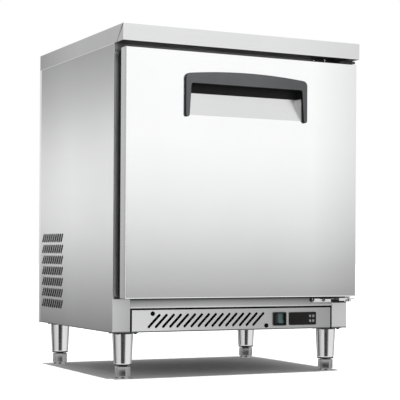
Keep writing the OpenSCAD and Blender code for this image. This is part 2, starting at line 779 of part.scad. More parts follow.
// Places of the two hinge bushes, and their sizes
bush_r = pin_r + 3;
bush_len = pin_len + 2;
run_gap = 0.08;
module bush_holes(r) {
    translate([hinge_x, hinge_y, door_z0 - cut]) cylinder(r = r, h = bush_len + cut, $fn = round_fn);
    translate([hinge_x, hinge_y, door_z1 - bush_len]) cylinder(r = r, h = bush_len + cut, $fn = round_fn);
}

// Door skin: folded steel pan with a window for the recess and a hem round its back edge
module door_skin() color("whitesmoke") placed() {
    hem = 8;
    difference() {
        intersection() {
            linear_extrude(door_z1) round_rect([-door_x, face_y], [door_x, skin_y + 10], fold_r);
            along_x(-door_x, door_x) round_rect([face_y, door_z0], [skin_y + 10, door_z1], fold_r);
            block([-door_x, face_y, door_z0], [door_x, skin_y, door_z1]);
        }
        block([sheet - door_x, face_y + sheet, door_z0 + sheet], [door_x - sheet, skin_y - sheet, door_z1 - sheet]);
        block([hem - door_x, face_y + sheet, door_z0 + hem], [door_x - hem, skin_y + cut, door_z1 - hem]);
        recess_void();
        bush_holes(bush_r);
    }
}

// Door liner: back plate with a raised dyke inside the seal
module door_liner() color("whitesmoke") placed() {
    dyke = gasket_inset + gasket_w + 6;
    dyke_w = 16;
    edge = 0.5;
    x = door_x - edge;
    inner = dyke + dyke_w;
    along_y(skin_y, seal_y) rect([-x, door_z0 + edge], [x, door_z1 - edge]);
    along_y(seal_y - 0.01, -4) ring(door_x - dyke, door_z0 + dyke, door_z1 - dyke, dyke_w);
    along_y(seal_y - 0.01, -2.5) ring(door_x - dyke - 3, door_z0 + dyke + 3, door_z1 - dyke - 3, dyke_w - 6);
    along_y(seal_y - 0.01, seal_y + 3)
        rect([inner + 30 - door_x, door_z0 + inner + 30], [door_x - inner - 30, door_z1 - inner - 30]);
}

// Door foam: fills the skin up to the liner, round the recess and the bushes
module door_foam() color("khaki") placed() {
    hem = 8;
    difference() {
        union() {
            block([sheet - door_x, face_y + sheet, door_z0 + sheet], [door_x - sheet, skin_y - sheet, door_z1 - sheet]);
            block([hem - door_x, face_y + sheet, door_z0 + hem], [door_x - hem, skin_y, door_z1 - hem]);
        }
        recess_void();
        bush_holes(bush_r + 0.1);
    }
}

// Door gasket: dart strip, bellows and magnet bead, all round
module door_gasket() color([0.12, 0.12, 0.13]) placed() {
    w = gasket_w;
    g = gasket_inset;
    depth = frame_y - seal_gap - seal_y;
    steps = [[0, 0.22, 0], [0.22, 0.34, 3], [0.34, 0.46, 0.8], [0.46, 0.58, 3], [0.58, 0.9, 0.4], [0.9, 1, 1.6]];
    for (s = steps)
        along_y(seal_y + depth * s[0] - (s[0] > 0 ? 0.005 : 0), seal_y + depth * s[1])
            ring(door_x - g - s[2], door_z0 + g + s[2], door_z1 - g - s[2], w - 2 * s[2]);
}

// Hinge bushes: nylon bushes in the top and bottom edge of the door
module hinge_bushes() color("ivory") placed() {
    bore = pin_r + run_gap;
    for (top = [0, 1]) translate([hinge_x, hinge_y, top ? door_z1 : door_z0]) mirror([0, 0, top])
        difference() {
            union() {
                cylinder(r = bush_r, h = bush_len, $fn = round_fn);
                translate([0, 0, -1.5]) cylinder(r = bush_r + 2, h = 1.5, $fn = round_fn);
            }
            translate([0, 0, -1.5 - cut]) cylinder(r = bore, h = pin_len + 1.5 + cut + 1, $fn = round_fn);
        }
}

// Shelf uprights: slotted channels on the side walls of the cabin
upright_z1 = cabin_z1 - 12;
function upright_z0(y) = (y + upright_w / 2 > step_y ? step_z : cabin_z0) + 8;
module shelf_uprights() color("silver") placed() {
    lip = 1.5;
    for (s = [-1, 1], y = upright_y) mirror([s > 0 ? 1 : 0, 0, 0]) translate([-cabin_x, y, 0]) difference() {
        block([0, -upright_w / 2, upright_z0(y)], [upright_t, upright_w / 2, upright_z1]);
        block([-cut, lip - upright_w / 2, upright_z0(y) - cut], [upright_t - lip, upright_w / 2 - lip, upright_z1 + cut]);
        for (z = [upright_z0(y) + 12 : 25 : upright_z1 - 16])
            block([upright_t - lip - cut, -5, z], [upright_t + cut, 5, z + 8]);
    }
}

// Shelf clips: bent tabs hooked in the uprights, one under each corner of a shelf
module shelf_clips() color("gainsboro") placed() {
    reach = 13;
    for (s = [-1, 1], y = upright_y, z = shelf_zs)
        mirror([s > 0 ? 1 : 0, 0, 0]) translate([upright_t - cabin_x, y, z - side_d / 2])
            along_y(-9, 9) polygon([[0, -clip_h], [2, -clip_h], [2, -3], [reach, -2], [reach, 0], [0, 0]]);
}

// Wire shelf: side rods, cross rods and the fine wires that lie on them
module wire_shelf(z) color("silver") placed() {
    wire_x = shelf_x - side_d - 8;
    translate([0, shelf_y0, z]) {
        for (s = [-1, 1]) translate([s * (shelf_x - side_d / 2), 0, 0]) rotate([-90, 0, 0])
            cylinder(d = side_d, h = shelf_d, $fn = 12);
        for (f = [0, 1 / 3, 2 / 3, 1]) translate([side_d / 2 - shelf_x, side_d / 2 + f * (shelf_d - side_d), 0])
            rotate([0, 90, 0]) cylinder(d = side_d - 1, h = 2 * shelf_x - side_d, $fn = 12);
        for (i = [0 : wire_count - 1])
            translate([wire_x * (2 * i / (wire_count - 1) - 1), 1, (side_d + wire_d) / 2 - 1.8]) rotate([-90, 0, 0])
                cylinder(d = wire_d, h = shelf_d - 2, $fn = 12);
    }
}
module shelf_lower() wire_shelf(shelf_zs[0]);
module shelf_upper() wire_shelf(shelf_zs[1]);

plate_t = 1.4;
// Finned coil in X and Z: plates, straight tubes through them and a bend at each tube end
module finned_coil(x0, x1, y0, y1, z0, z1, fins, tubes, end) {
    tube_r = 4.5;
    pitch = (z1 - z0) / tubes;
    ym = (y0 + y1) / 2;
    for (i = [0 : fins - 1]) let (x = x0 + end + (x1 - x0 - 2 * end - 1) * i / (fins - 1))
        block([x, y0, z0], [x + (i == 0 || i == fins - 1 ? plate_t : 0.8), y1, z1]);
    for (k = [0 : tubes - 1]) translate([x0 + end, ym, z0 + pitch * (k + 0.5)]) rotate([0, 90, 0])
        cylinder(r = tube_r, h = x1 - x0 - 2 * end, $fn = 24);
    for (k = [0 : tubes - 2]) translate([k % 2 ? x0 + end : x1 - end, ym, z0 + pitch * (k + 1)])
        rotate([90, 0, 0]) rotate([0, 0, k % 2 ? 90 : -90]) rotate_extrude(angle = 180, $fn = 24)
            translate([pitch / 2, 0]) circle(tube_r, $fn = 24);
}

// Evaporator coil, hung from the back wall of the cabin beside its fan
module evaporator_coil() color("lightsteelblue") placed()
    finned_coil(coil_x0, coil_x1, cover_y + 16, cabin_y1, cover_z + 22, cabin_z1 - 8, 18, 6, 16);

// Evaporator cover: tray with a ringed fan grille and a slotted outlet
module evaporator_cover() color("whitesmoke") placed() {
    rings = 5;
    spoke = 5;
    ring_step = (cabin_fan_d / 2 - 12) / rings;
    difference() {
        block([-cover_x, cover_y, cover_z], [cover_x, cabin_y1, cabin_z1]);
        block([cover_t - cover_x, cover_y + cover_t, cover_z + cover_t], [cover_x - cover_t, cabin_y1 + cut, cabin_z1 + cut]);
        translate([cabin_fan_x, cover_y - cut, cooler_z]) rotate([-90, 0, 0]) difference() {
            for (k = [1 : rings]) difference() {
                cylinder(r = 12 + ring_step * k, h = cover_t + 2 * cut, $fn = round_fn);
                translate([0, 0, -cut]) cylinder(r = 12 + ring_step * (k - 1) + 3.2, h = cover_t + 4 * cut, $fn = round_fn);
            }
            for (a = [0, 90]) rotate(a + 45) cube([cabin_fan_d + 10, spoke, 20], center = true);
        }
        along_y(cover_y - cut, cover_y + cover_t + cut)
            for (i = [0 : 9], j = [0 : 2]) translate([coil_x0 + 42 + i * 24, cooler_z + 46 * (j - 1)]) rotate(90) slot(38, 7);
    }
}

// Motor: round can with a shaft, a mounting foot and its axis along +X
module motor(r, len, shaft_r, shaft_len) {
    rotate([0, 90, 0]) rotate_extrude($fn = round_fn)
        polygon([[0, -shaft_len], [shaft_r, -shaft_len], [shaft_r, 0], [r * 0.45, 0], [r * 0.6, 3],
            [r, 5], [r, len - 3], [r - 3, len], [0, len]]);
}

module evaporator_fan_motor() color("dimgray") placed() {
    len = cabin_y1 - cabin_motor_y;
    reach = cover_h / 2 - 16;
    translate([cabin_fan_x, cabin_motor_y, cooler_z]) rotate([0, 0, 90]) motor(27, len, 3, 16);
    block([cabin_fan_x - 6, cabin_y1 - 4, cooler_z - reach], [cabin_fan_x + 6, cabin_y1, cooler_z + reach]);
}

// Fan with pitched blades round a hub, its axis along +X and its front at x = 0
module axial_fan(d, depth, blades, hub_r, bore_r) {
    blade_t = 1.5;
    difference() {
        union() {
            rotate([0, 90, 0]) cylinder(r = hub_r, h = depth, $fn = round_fn);
            intersection() {
                rotate([0, 90, 0]) cylinder(r = d / 2, h = depth, $fn = round_fn);
                for (i = [0 : blades - 1]) rotate([i * 360 / blades, 0, 0])
                    translate([depth / 2, 0, hub_r - 2]) rotate([0, 0, 34])
                        translate([-blade_t / 2, -d * 0.19, 0]) cube([blade_t, d * 0.38, d / 2]);
            }
        }
        rotate([0, 90, 0]) translate([0, 0, -cut]) cylinder(r = bore_r, h = depth + 2 * cut, $fn = round_fn);
    }
}

module evaporator_fan() color("white") placed()
    translate([cabin_fan_x, cabin_fan_y, cooler_z]) rotate([0, 0, 90]) axial_fan(cabin_fan_d, 20, 5, 14, 3.06);

// Condenser coil, behind the vents of the left side
module condenser_coil() color("slategray") placed() {
    translate([cond_x0 + cond_t / 2, fan_y, 0]) rotate([0, 0, 90])
        finned_coil(-cond_w / 2, cond_w / 2, -cond_t / 2, cond_t / 2, cond_z0, cond_z0 + cond_h, 20, 8, 18);
    for (y = [18 - cond_w / 2, cond_w / 2 - 19])
        block([cond_x0, fan_y + y, pan_top], [cond_x0 + cond_t, fan_y + y + plate_t, cond_z0 + 0.01]);
}

// Condenser shroud: plate with a ring round the fan and arms to the motor
fan_can_r = 30;
module condenser_shroud() color([0.25, 0.26, 0.27]) placed() {
    r = fan_d / 2 + 4;
    t = 1.5;
    ring_x = shroud_x + shroud_d;
    difference() {
        union() {
            block([shroud_x, fan_y - r - 4, cond_z0], [shroud_x + t, fan_y + r + 4, cond_z0 + cond_h]);
            translate([shroud_x, fan_y, fan_z]) rotate([0, 90, 0]) cylinder(r = r + t, h = shroud_d, $fn = round_fn);
        }
        translate([shroud_x - cut, fan_y, fan_z]) rotate([0, 90, 0]) cylinder(r = r, h = shroud_d + 2 * cut, $fn = round_fn);
    }
    for (a = [30, 150, 270]) translate([0, fan_y, fan_z]) rotate([a, 0, 0]) {
        block([ring_x - 0.01, -5, fan_can_r], [motor_x + 18, 5, fan_can_r + 4]);
        block([ring_x - 0.01, -5, fan_can_r], [ring_x + 2, 5, r + t]);
    }
}

module condenser_fan_motor() color("dimgray") placed()
    translate([motor_x, fan_y, fan_z]) motor(fan_can_r, 48, 4, motor_x - fan_x - 2);

module condenser_fan() color("lightgray") placed()
    translate([fan_x, fan_y, fan_z]) axial_fan(fan_d, 26, 5, 18, 4.06);

// Compressor: welded two part shell on a foot plate, with a terminal box and stub pipes
module compressor() color([0.1, 0.1, 0.11]) placed() {
    foot_x = pot_r + 16;
    foot_y = pot_r - 8;
    translate([pot_x, pot_y, pot_z]) {
        rotate_extrude($fn = round_fn) polygon(concat(
            [[0, 4], [pot_r - 22, 4]],
            arc([pot_r - 22, 26], 22, 270, 360, 5),
            [[pot_r, 92], [pot_r + 4, 92], [pot_r + 4, 98], [pot_r - 1, 98], [pot_r - 1, pot_h - 34]],
            arc([pot_r - 35, pot_h - 34], 34, 0, 90, 6),
            [[0, pot_h]]));
        difference() {
            block([-foot_x, -foot_y, 0], [foot_x, foot_y, 4.5]);
            for (sx = [-1, 1], sy = [-1, 1]) translate([sx * (foot_x - 12), sy * (foot_y - 12), -cut])
                cylinder(r = 7, h = 8, $fn = 24);
        }
        block([pot_r - 6, -24, 46], [pot_r + 24, 24, 84]);
        for (p = [[-20, low_stub_z], [20, high_stub_z]]) translate([-pot_r - 14, p[0], p[1] - pot_z])
            rotate([0, 90, 0]) cylinder(r = 5, h = 34, $fn = 24);
    }
}

// Grommets: waisted rubber feet under the corners of the compressor plate
module compressor_grommets() color("black") placed() {
    foot_x = pot_r + 16;
    foot_y = pot_r - 8;
    rise = pot_z - pan_top;
    for (sx = [-1, 1], sy = [-1, 1])
        translate([pot_x + sx * (foot_x - 12), pot_y + sy * (foot_y - 12), pan_top]) rotate_extrude($fn = 32)
            polygon([[3, 0], [11, 0], [11, rise - 3], [9, rise], [6.8, rise], [6.8, rise + 5], [9, rise + 5],
                [9, rise + 8], [3, rise + 8]]);
}

// A tube swept along points, each ring turned halfway between its two runs, without twist
function unit(v) = v / norm(v);
function run_at(p, i) = unit(p[min(i + 1, len(p) - 1)] - p[max(i - 1, 0)]);
function side_of(t) = unit(cross(t, abs(t[2]) > 0.9 ? [0, 1, 0] : [0, 0, 1]));
function sides_along(p, a, i) = i == len(p) ? [] : let (t = run_at(p, i), s = unit(a - (a * t) * t))
    concat([s], sides_along(p, s, i + 1));
function ring_at(p, i, a, r, n) = let (b = cross(run_at(p, i), a))
    [for (k = [0 : n - 1]) p[i] + r * (cos(360 * k / n) * a + sin(360 * k / n) * b)];
// Each inner corner of a route becomes a bend of radius r
function bend(a, b, c, r, n) = let (
    u = unit(a - b),
    v = unit(c - b),
    cut_back = r / tan(acos(u * v) / 2),
    p = b + u * cut_back,
    q = b + v * cut_back
) [for (i = [0 : n]) let (s = i / n) (1 - s) * (1 - s) * p + 2 * s * (1 - s) * b + s * s * q];
function route(pts, r, n) = concat([pts[0]],
    [for (i = [1 : len(pts) - 2]) each bend(pts[i - 1], pts[i], pts[i + 1], r, n)],
    [pts[len(pts) - 1]]);
module tube(pts, r, bend_r) {
    sides = 8;
    path = route(pts, bend_r, 4);
    rings = len(path);
    a = sides_along(path, side_of(run_at(path, 0)), 0);
    polyhedron(
        points = [for (i = [0 : rings - 1]) each ring_at(path, i, a[i], r, sides)],
        faces = concat(
            [[for (k = [0 : sides - 1]) k]],
            [for (i = [0 : rings - 2], k = [0 : sides - 1])
                [i * sides + k, (i + 1) * sides + k, (i + 1) * sides + (k + 1) % sides, i * sides + (k + 1) % sides]],
            [[for (k = [sides - 1 : -1 : 0]) (rings - 1) * sides + k]]));
}

// Places that the pipes run between
stub_x = pot_x - pot_r - 14;
high_stub_z = pot_z + pot_h - 72;
low_stub_z = pot_z + pot_h - 90;
cond_end = [cond_x0 + cond_t / 2, fan_y - cond_w / 2 + 18];
cond_low_z = cond_z0 + cond_h / 16;
cond_high_z = cond_z0 + cond_h * 15 / 16;
wall_run_y = comp_y + 8;

// Discharge pipe: from the upper stub of the compressor to the top of the condenser
module discharge_pipe() color("peru") placed()
    tube([[stub_x, pot_y + 20, high_stub_z], [stub_x - 44, pot_y + 20, high_stub_z],
        [stub_x - 44, wall_run_y, high_stub_z + 10], [stub_x - 90, wall_run_y, cond_high_z],
        [cond_end[0], wall_run_y, cond_high_z], [cond_end[0], cond_end[1], cond_high_z]], 3.5, 10);

// Liquid line: feed from the condenser, clipped drier barrel and capillary up to the cooler
module liquid_line() color("peru") placed() {
    barrel_x = pot_x - 150;
    barrel_y = back_y - 24;
    z0 = under_z + 60;
    feed_z = under_z + 26;
    translate([barrel_x, barrel_y, z0]) rotate_extrude($fn = 32)
        polygon([[0, 0], [4, 0], [4, 8], [9, 18], [9, 78], [4, 88], [4, 98], [0, 98]]);
    translate([barrel_x - 4, barrel_y + 4, z0 + 30]) cube([8, back_y - barrel_y - 4, 12]);
    tube([[cond_end[0], cond_end[1], cond_low_z], [cond_end[0], wall_run_y, cond_low_z],
        [shroud_x + 20, wall_run_y, feed_z], [barrel_x, wall_run_y, feed_z],
        [barrel_x, barrel_y, feed_z], [barrel_x, barrel_y, z0 + 1]], 3, 8);
    turn_z = comp_z - 26;
    tube([[barrel_x, barrel_y, z0 + 97], [barrel_x, barrel_y, turn_z], [barrel_x + 30, barrel_y, turn_z],
        [barrel_x + 30, barrel_y, comp_z]], 1.5, 6);
}

// Suction pipe: from the lower stub up through the step to the cabin cooler
module suction_pipe() color("peru") placed() {
    rise_y = comp_y + 24;
    tube([[stub_x, pot_y - 20, low_stub_z], [stub_x - 18, pot_y - 20, low_stub_z],
        [stub_x - 18, rise_y, low_stub_z], [stub_x - 18, rise_y, comp_z]], 4, 10);
}

// Drain tray: open tray that catches the melt water and dries over the warm base
module drain_tray() color("dimgray") placed() {
    tray_h = 34;
    t = 2;
    lo = [tray_x0, comp_y + 22, pan_top];
    hi = [tray_x1, back_y - 20, pan_top + tray_h];
    difference() {
        block(lo, hi);
        block(lo + [t, t, t], hi + [-t, -t, cut]);
    }
}

// Cable gland: body through the back panel with a nut inside and a domed nut outside
module cable_gland() color("black") placed() {
    translate([gland_x, 0, gland_z]) rotate([-90, 0, 0]) difference() {
        union() {
            translate([0, 0, back_y - 8]) cylinder(r = 8, h = 8 + sheet + 4, $fn = round_fn);
            translate([0, 0, back_y - 5]) cylinder(r = 13, h = 5, $fn = 6);
            translate([0, 0, back_y + sheet]) cylinder(r = 12.5, h = 5, $fn = 6);
            translate([0, 0, back_y + sheet + 4.99]) cylinder(r1 = 10.5, r2 = 7.5, h = 6, $fn = round_fn);
        }
        translate([0, 0, back_y - 9]) cylinder(r = 4, h = 30, $fn = round_fn);
    }
}

worktop();
side_panel_left();
side_panel_right();
back_panel();
front_frame();
breaker_frame();
cabin_liner();
cabinet_foam();
bottom_panel();
base_pan();
corner_post_left();
corner_post_right();
kick_panel();
kick_caps();
switch_bezel();
switch_rocker();
controller_case();
controller_window();
button_set();
button_defrost();
button_up();
button_down();
leg_front_left();
leg_front_right();
leg_rear_left();
leg_rear_right();
foot_front_left();
foot_front_right();
foot_rear_left();
foot_rear_right();
hinge_bracket_bottom();
hinge_bracket_top();
hinge_screws();
shelf_uprights();
shelf_clips();
shelf_upper();
shelf_lower();
evaporator_coil();
evaporator_cover();
evaporator_fan_motor();
evaporator_fan();
compressor();
compressor_grommets();
condenser_coil();
condenser_shroud();
condenser_fan_motor();
condenser_fan();
discharge_pipe();
liquid_line();
suction_pipe();
drain_tray();
cable_gland();
door_skin();
door_liner();
door_foam();
door_gasket();
handle_bezel();
handle_cup();
handle_pan();
hinge_bushes();
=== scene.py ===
"""Looks of a compact stainless steel refrigerated counter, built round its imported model.

All sizes are in metres. +X is to the right of someone facing the door, +Y runs to the back and +Z is up.
"""

import json
import logging
import math
from contextlib import contextmanager
from dataclasses import dataclass
from enum import Enum
from functools import cached_property, partial, reduce
from typing import Callable, Iterator, Sequence

import bmesh
import bpy
from mathutils import Euler, Matrix, Vector

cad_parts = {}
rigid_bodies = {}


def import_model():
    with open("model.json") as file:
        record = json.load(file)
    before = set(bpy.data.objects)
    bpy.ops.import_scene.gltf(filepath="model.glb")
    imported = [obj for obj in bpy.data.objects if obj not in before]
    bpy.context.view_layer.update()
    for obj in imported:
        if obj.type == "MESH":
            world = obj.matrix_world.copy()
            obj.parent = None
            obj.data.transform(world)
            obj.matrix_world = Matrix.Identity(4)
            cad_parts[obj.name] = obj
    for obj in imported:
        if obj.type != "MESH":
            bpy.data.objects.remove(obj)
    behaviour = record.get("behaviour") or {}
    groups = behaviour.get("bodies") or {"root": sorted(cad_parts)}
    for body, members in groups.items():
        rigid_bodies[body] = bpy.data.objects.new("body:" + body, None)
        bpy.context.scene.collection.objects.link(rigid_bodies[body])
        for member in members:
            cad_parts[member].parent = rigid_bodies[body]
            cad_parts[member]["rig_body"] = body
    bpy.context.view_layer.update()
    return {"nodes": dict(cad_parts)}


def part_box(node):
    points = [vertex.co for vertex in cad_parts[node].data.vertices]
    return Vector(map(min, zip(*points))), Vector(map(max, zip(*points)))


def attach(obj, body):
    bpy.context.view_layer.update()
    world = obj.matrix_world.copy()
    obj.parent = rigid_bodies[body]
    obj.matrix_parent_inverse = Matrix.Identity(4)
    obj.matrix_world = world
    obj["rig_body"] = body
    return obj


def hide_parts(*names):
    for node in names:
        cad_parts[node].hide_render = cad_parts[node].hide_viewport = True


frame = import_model()
log = logging.getLogger("counter")

Point = tuple[float, float, float]
Flat = tuple[float, float]
Stops = tuple[Flat, ...]
Colour = tuple[float, float, float]
Socket = bpy.types.NodeSocket
Sockets = bpy.types.bpy_prop_collection
Material = bpy.types.Material
Tree = bpy.types.NodeTree
Piece = bpy.types.Object
FULL_TURN = 2 * math.pi

# How far the painted highlights on edges and folds show, and the levels of the dark details: the painted shade on the
# hem, the mitre's dark line, the painted reflection of the dark under the door, the painted shade on rims and flanges,
# and the painted shade on the strips between the vents
EDGE_HIGHLIGHT_WEIGHT, FOLD_HIGHLIGHT_WEIGHT = 0.75, 0.7
HEM_TONE, SEAM_TONE, PAINTED_REFLECTION_TONE, SHADE_TONE, STRIP_SHADE = 0.14, 0.05, 0.02, 0.03, 0.48

# Height of the worktop's apron, half the width of its mitre's line at the foot, and how much that grows on the way up
APRON, SEAM_WIDTH, SEAM_TAPER = 0.044, 0.0012, 0.06

# The side vents across and up: their middle, half of the box that holds them, and half of the strips' field
VENT_MIDDLE, VENT_REACH, STRIP_REACH = (0.2032, 0.2713), (0.095, 0.112), (0.08, 0.1085)

# Their rows: foot of the lowest, pitch, half of a row's height, and how far a row's field leans
ROW_START, ROW_PITCH, ROW_REACH, ROW_SLANT = 0.1628, 0.031, 0.0115, 0.625


class Axis(Enum):
    """The three directions of the frame."""

    X = 0
    Y = 1
    Z = 2

    @property
    def vector(self) -> Vector:
        """The unit vector along this axis."""
        return Vector([float(i == self.value) for i in range(3)])


class Grain(Enum):
    """Which way the brushed lines of a steel sheet run, as the stretch of its pattern."""

    ALONG_X = (4.0, 900.0, 900.0)
    ALONG_Y = (900.0, 4.0, 900.0)
    ALONG_Z = (900.0, 900.0, 4.0)


class Graph:
    """A node tree under construction, with short calls for its nodes."""

    def __init__(self, tree: Tree) -> None:
        """Takes the tree that the calls add to."""
        self.tree = tree

    def feed(self, target: Socket, value: object) -> None:
        """Links a socket to an input, or sets the input's value.

        Args:
            target: The input.
            value: The socket or the value.
        """
        if isinstance(value, Socket):
            self.tree.links.new(value, target)
        else:
            target.default_value = value

    def node(self, kind: str, **inputs: object) -> bpy.types.Node:
        """Adds a node and fills its inputs.

        Args:
            kind: Blender's name of the node type, from after ShaderNode.
            **inputs: Input names with underscores for spaces, each with a value or a socket.

        Returns:
            The new node.
        """
        made = self.tree.nodes.new("ShaderNode" + kind)
        for name, value in inputs.items():
            self.feed(made.inputs[name.replace("_", " ")], value)
        return made

    def operate(self, kind: str, operation: str, values: Sequence[object]) -> Socket:
        """Adds a Math or VectorMath node, fills its inputs in turn and returns its result.

        Args:
            kind: Math or VectorMath.
            operation: Blender's name of the operation.
            values: A value or a socket for each input in turn.

        Returns:
            The result's socket.
        """
        made = self.node(kind)
        made.operation = operation
        for target, value in zip(made.inputs, values):
            self.feed(target, value)
        return made.outputs[0]

    def math(self, operation: str, *values: object) -> Socket:
        """The result of an operation on numbers."""
        return self.operate("Math", operation, values)

    def vector(self, operation: str, *values: object) -> Socket:
        """The result of an operation on vectors."""
        return self.operate("VectorMath", operation, values)

    def product(self, *values: object) -> Socket:
        """All the values, multiplied."""
        return reduce(partial(self.math, "MULTIPLY"), values)

    def split(self, vector: Socket) -> Sockets:
        """The X, Y and Z of a vector."""
        return self.node("SeparateXYZ", Vector=vector).outputs

    def step(self, value: Socket, low: float, high: float) -> Socket:
        """How far a value lies from one level to another, from 0 to 1."""
        return self.node("MapRange", Value=value, From_Min=low, From_Max=high).outputs["Result"]


class Effect(Graph):
    """A shared node group under construction, with named inputs and outputs."""

    def __init__(self, name: str, inputs: dict[str, str], outputs: dict[str, str]) -> None:
        """Starts the group and its sockets.

        Args:
            name: Name of the group.
            inputs: Socket names, each with Vector, Float or Color.
            outputs: Socket names, each with Vector, Float or Color.
        """
        super().__init__(bpy.data.node_groups.new(name, "ShaderNodeTree"))
        for direction, sockets in (("INPUT", inputs), ("OUTPUT", outputs)):
            for socket, kind in sockets.items():
                self.tree.interface.new_socket(socket, in_out=direction, socket_type="NodeSocket" + kind)
        self.inside = self.tree.nodes.new("NodeGroupInput").outputs
        self.outside = self.tree.nodes.new("NodeGroupOutput").inputs

    def give(self, **values: Socket) -> Tree:
        """Links sockets to the group's outputs and returns the group.

        Args:
            **values: The group's outputs, each with its socket.

        Returns:
            The group.
        """
        for name, value in values.items():
            self.feed(self.outside[name], value)
        return self.tree


def brushed_effect() -> Tree:
    """Fine lines of a brushed sheet, from coordinates that are stretched along the grain.

    Returns:
        The group.
    """
    group = Effect("brushed", {"Vector": "Vector", "Contrast": "Float"}, {"Height": "Float", "Tone": "Float"})
    lines = group.node("TexNoise", Vector=group.inside["Vector"], Scale=1.0, Detail=4.0, Roughness=0.65)
    swing = group.math("SUBTRACT", lines.outputs["Fac"], 0.5)
    tone = group.math("MULTIPLY_ADD", swing, group.inside["Contrast"], 1.0)
    return group.give(Height=lines.outputs["Fac"], Tone=tone)


def facing_effect() -> Tree:
    """Masks of the faces that look sideways, ahead or back, down or up, and of the folds between them.

    Returns:
        The group.
    """
    masks = ("Side", "Ahead", "Under", "Over", "Fold")
    group = Effect("facing", {"Normal": "Vector"}, dict.fromkeys(masks, "Float"))
    plain = group.split(group.vector("ABSOLUTE", group.inside["Normal"]))
    up = group.split(group.inside["Normal"])["Z"]
    widest = group.math("MAXIMUM", group.math("MAXIMUM", plain["X"], plain["Y"]), plain["Z"])
    ranges = (
        (plain["X"], 0.75, 0.97), (plain["Y"], 0.75, 0.97), (group.math("MULTIPLY", up, -1.0), 0.5, 0.95),
        (up, 0.5, 0.95), (widest, 0.995, 0.93),
    )
    return group.give(**{name: group.step(*place) for name, place in zip(masks, ranges)})


def patches_effect() -> Tree:
    """Soft patches, for handled metal, dust and uneven paint.

    Returns:
        The group.
    """
    group = Effect("patches", {"Vector": "Vector", "Scale": "Float"}, {"Value": "Float"})
    vector, scale = group.inside["Vector"], group.inside["Scale"]
    noise = group.node("TexNoise", Vector=vector, Scale=scale, Detail=3.0, Roughness=0.55)
    return group.give(Value=group.step(noise.outputs["Fac"], 0.3, 0.7))


def rim_effect() -> Tree:
    """Mask of a thin line on both sides of every edge of a box.

    Returns:
        The group.
    """
    names = {"Vector": "Vector", "Middle": "Vector", "Reach": "Vector", "Width": "Float"}
    group = Effect("rim", names, {"Mask": "Float"})
    vector, middle, reach, width = (group.inside[name] for name in names)
    room = group.vector("SUBTRACT", reach, group.vector("ABSOLUTE", group.vector("SUBTRACT", vector, middle)))
    room = group.split(room)
    near = [group.math("LESS_THAN", room[name], width) for name in "XYZ"]
    count = group.math("ADD", group.math("ADD", near[0], near[1]), near[2])
    return group.give(Mask=group.math("GREATER_THAN", count, 1.5))


def spangle_effect() -> Tree:
    """Crystal flakes of a zinc coat.

    Returns:
        The group.
    """
    group = Effect("spangle", {"Vector": "Vector", "Scale": "Float"}, {"Value": "Float"})
    cells = group.node("TexVoronoi", Vector=group.inside["Vector"], Scale=group.inside["Scale"])
    flake = group.node("SeparateColor", Color=cells.outputs["Color"])
    return group.give(Value=flake.outputs["Red"])


BRUSHED = brushed_effect()
FACING = facing_effect()
PATCHES = patches_effect()
SPANGLE = spangle_effect()
RIM = rim_effect()


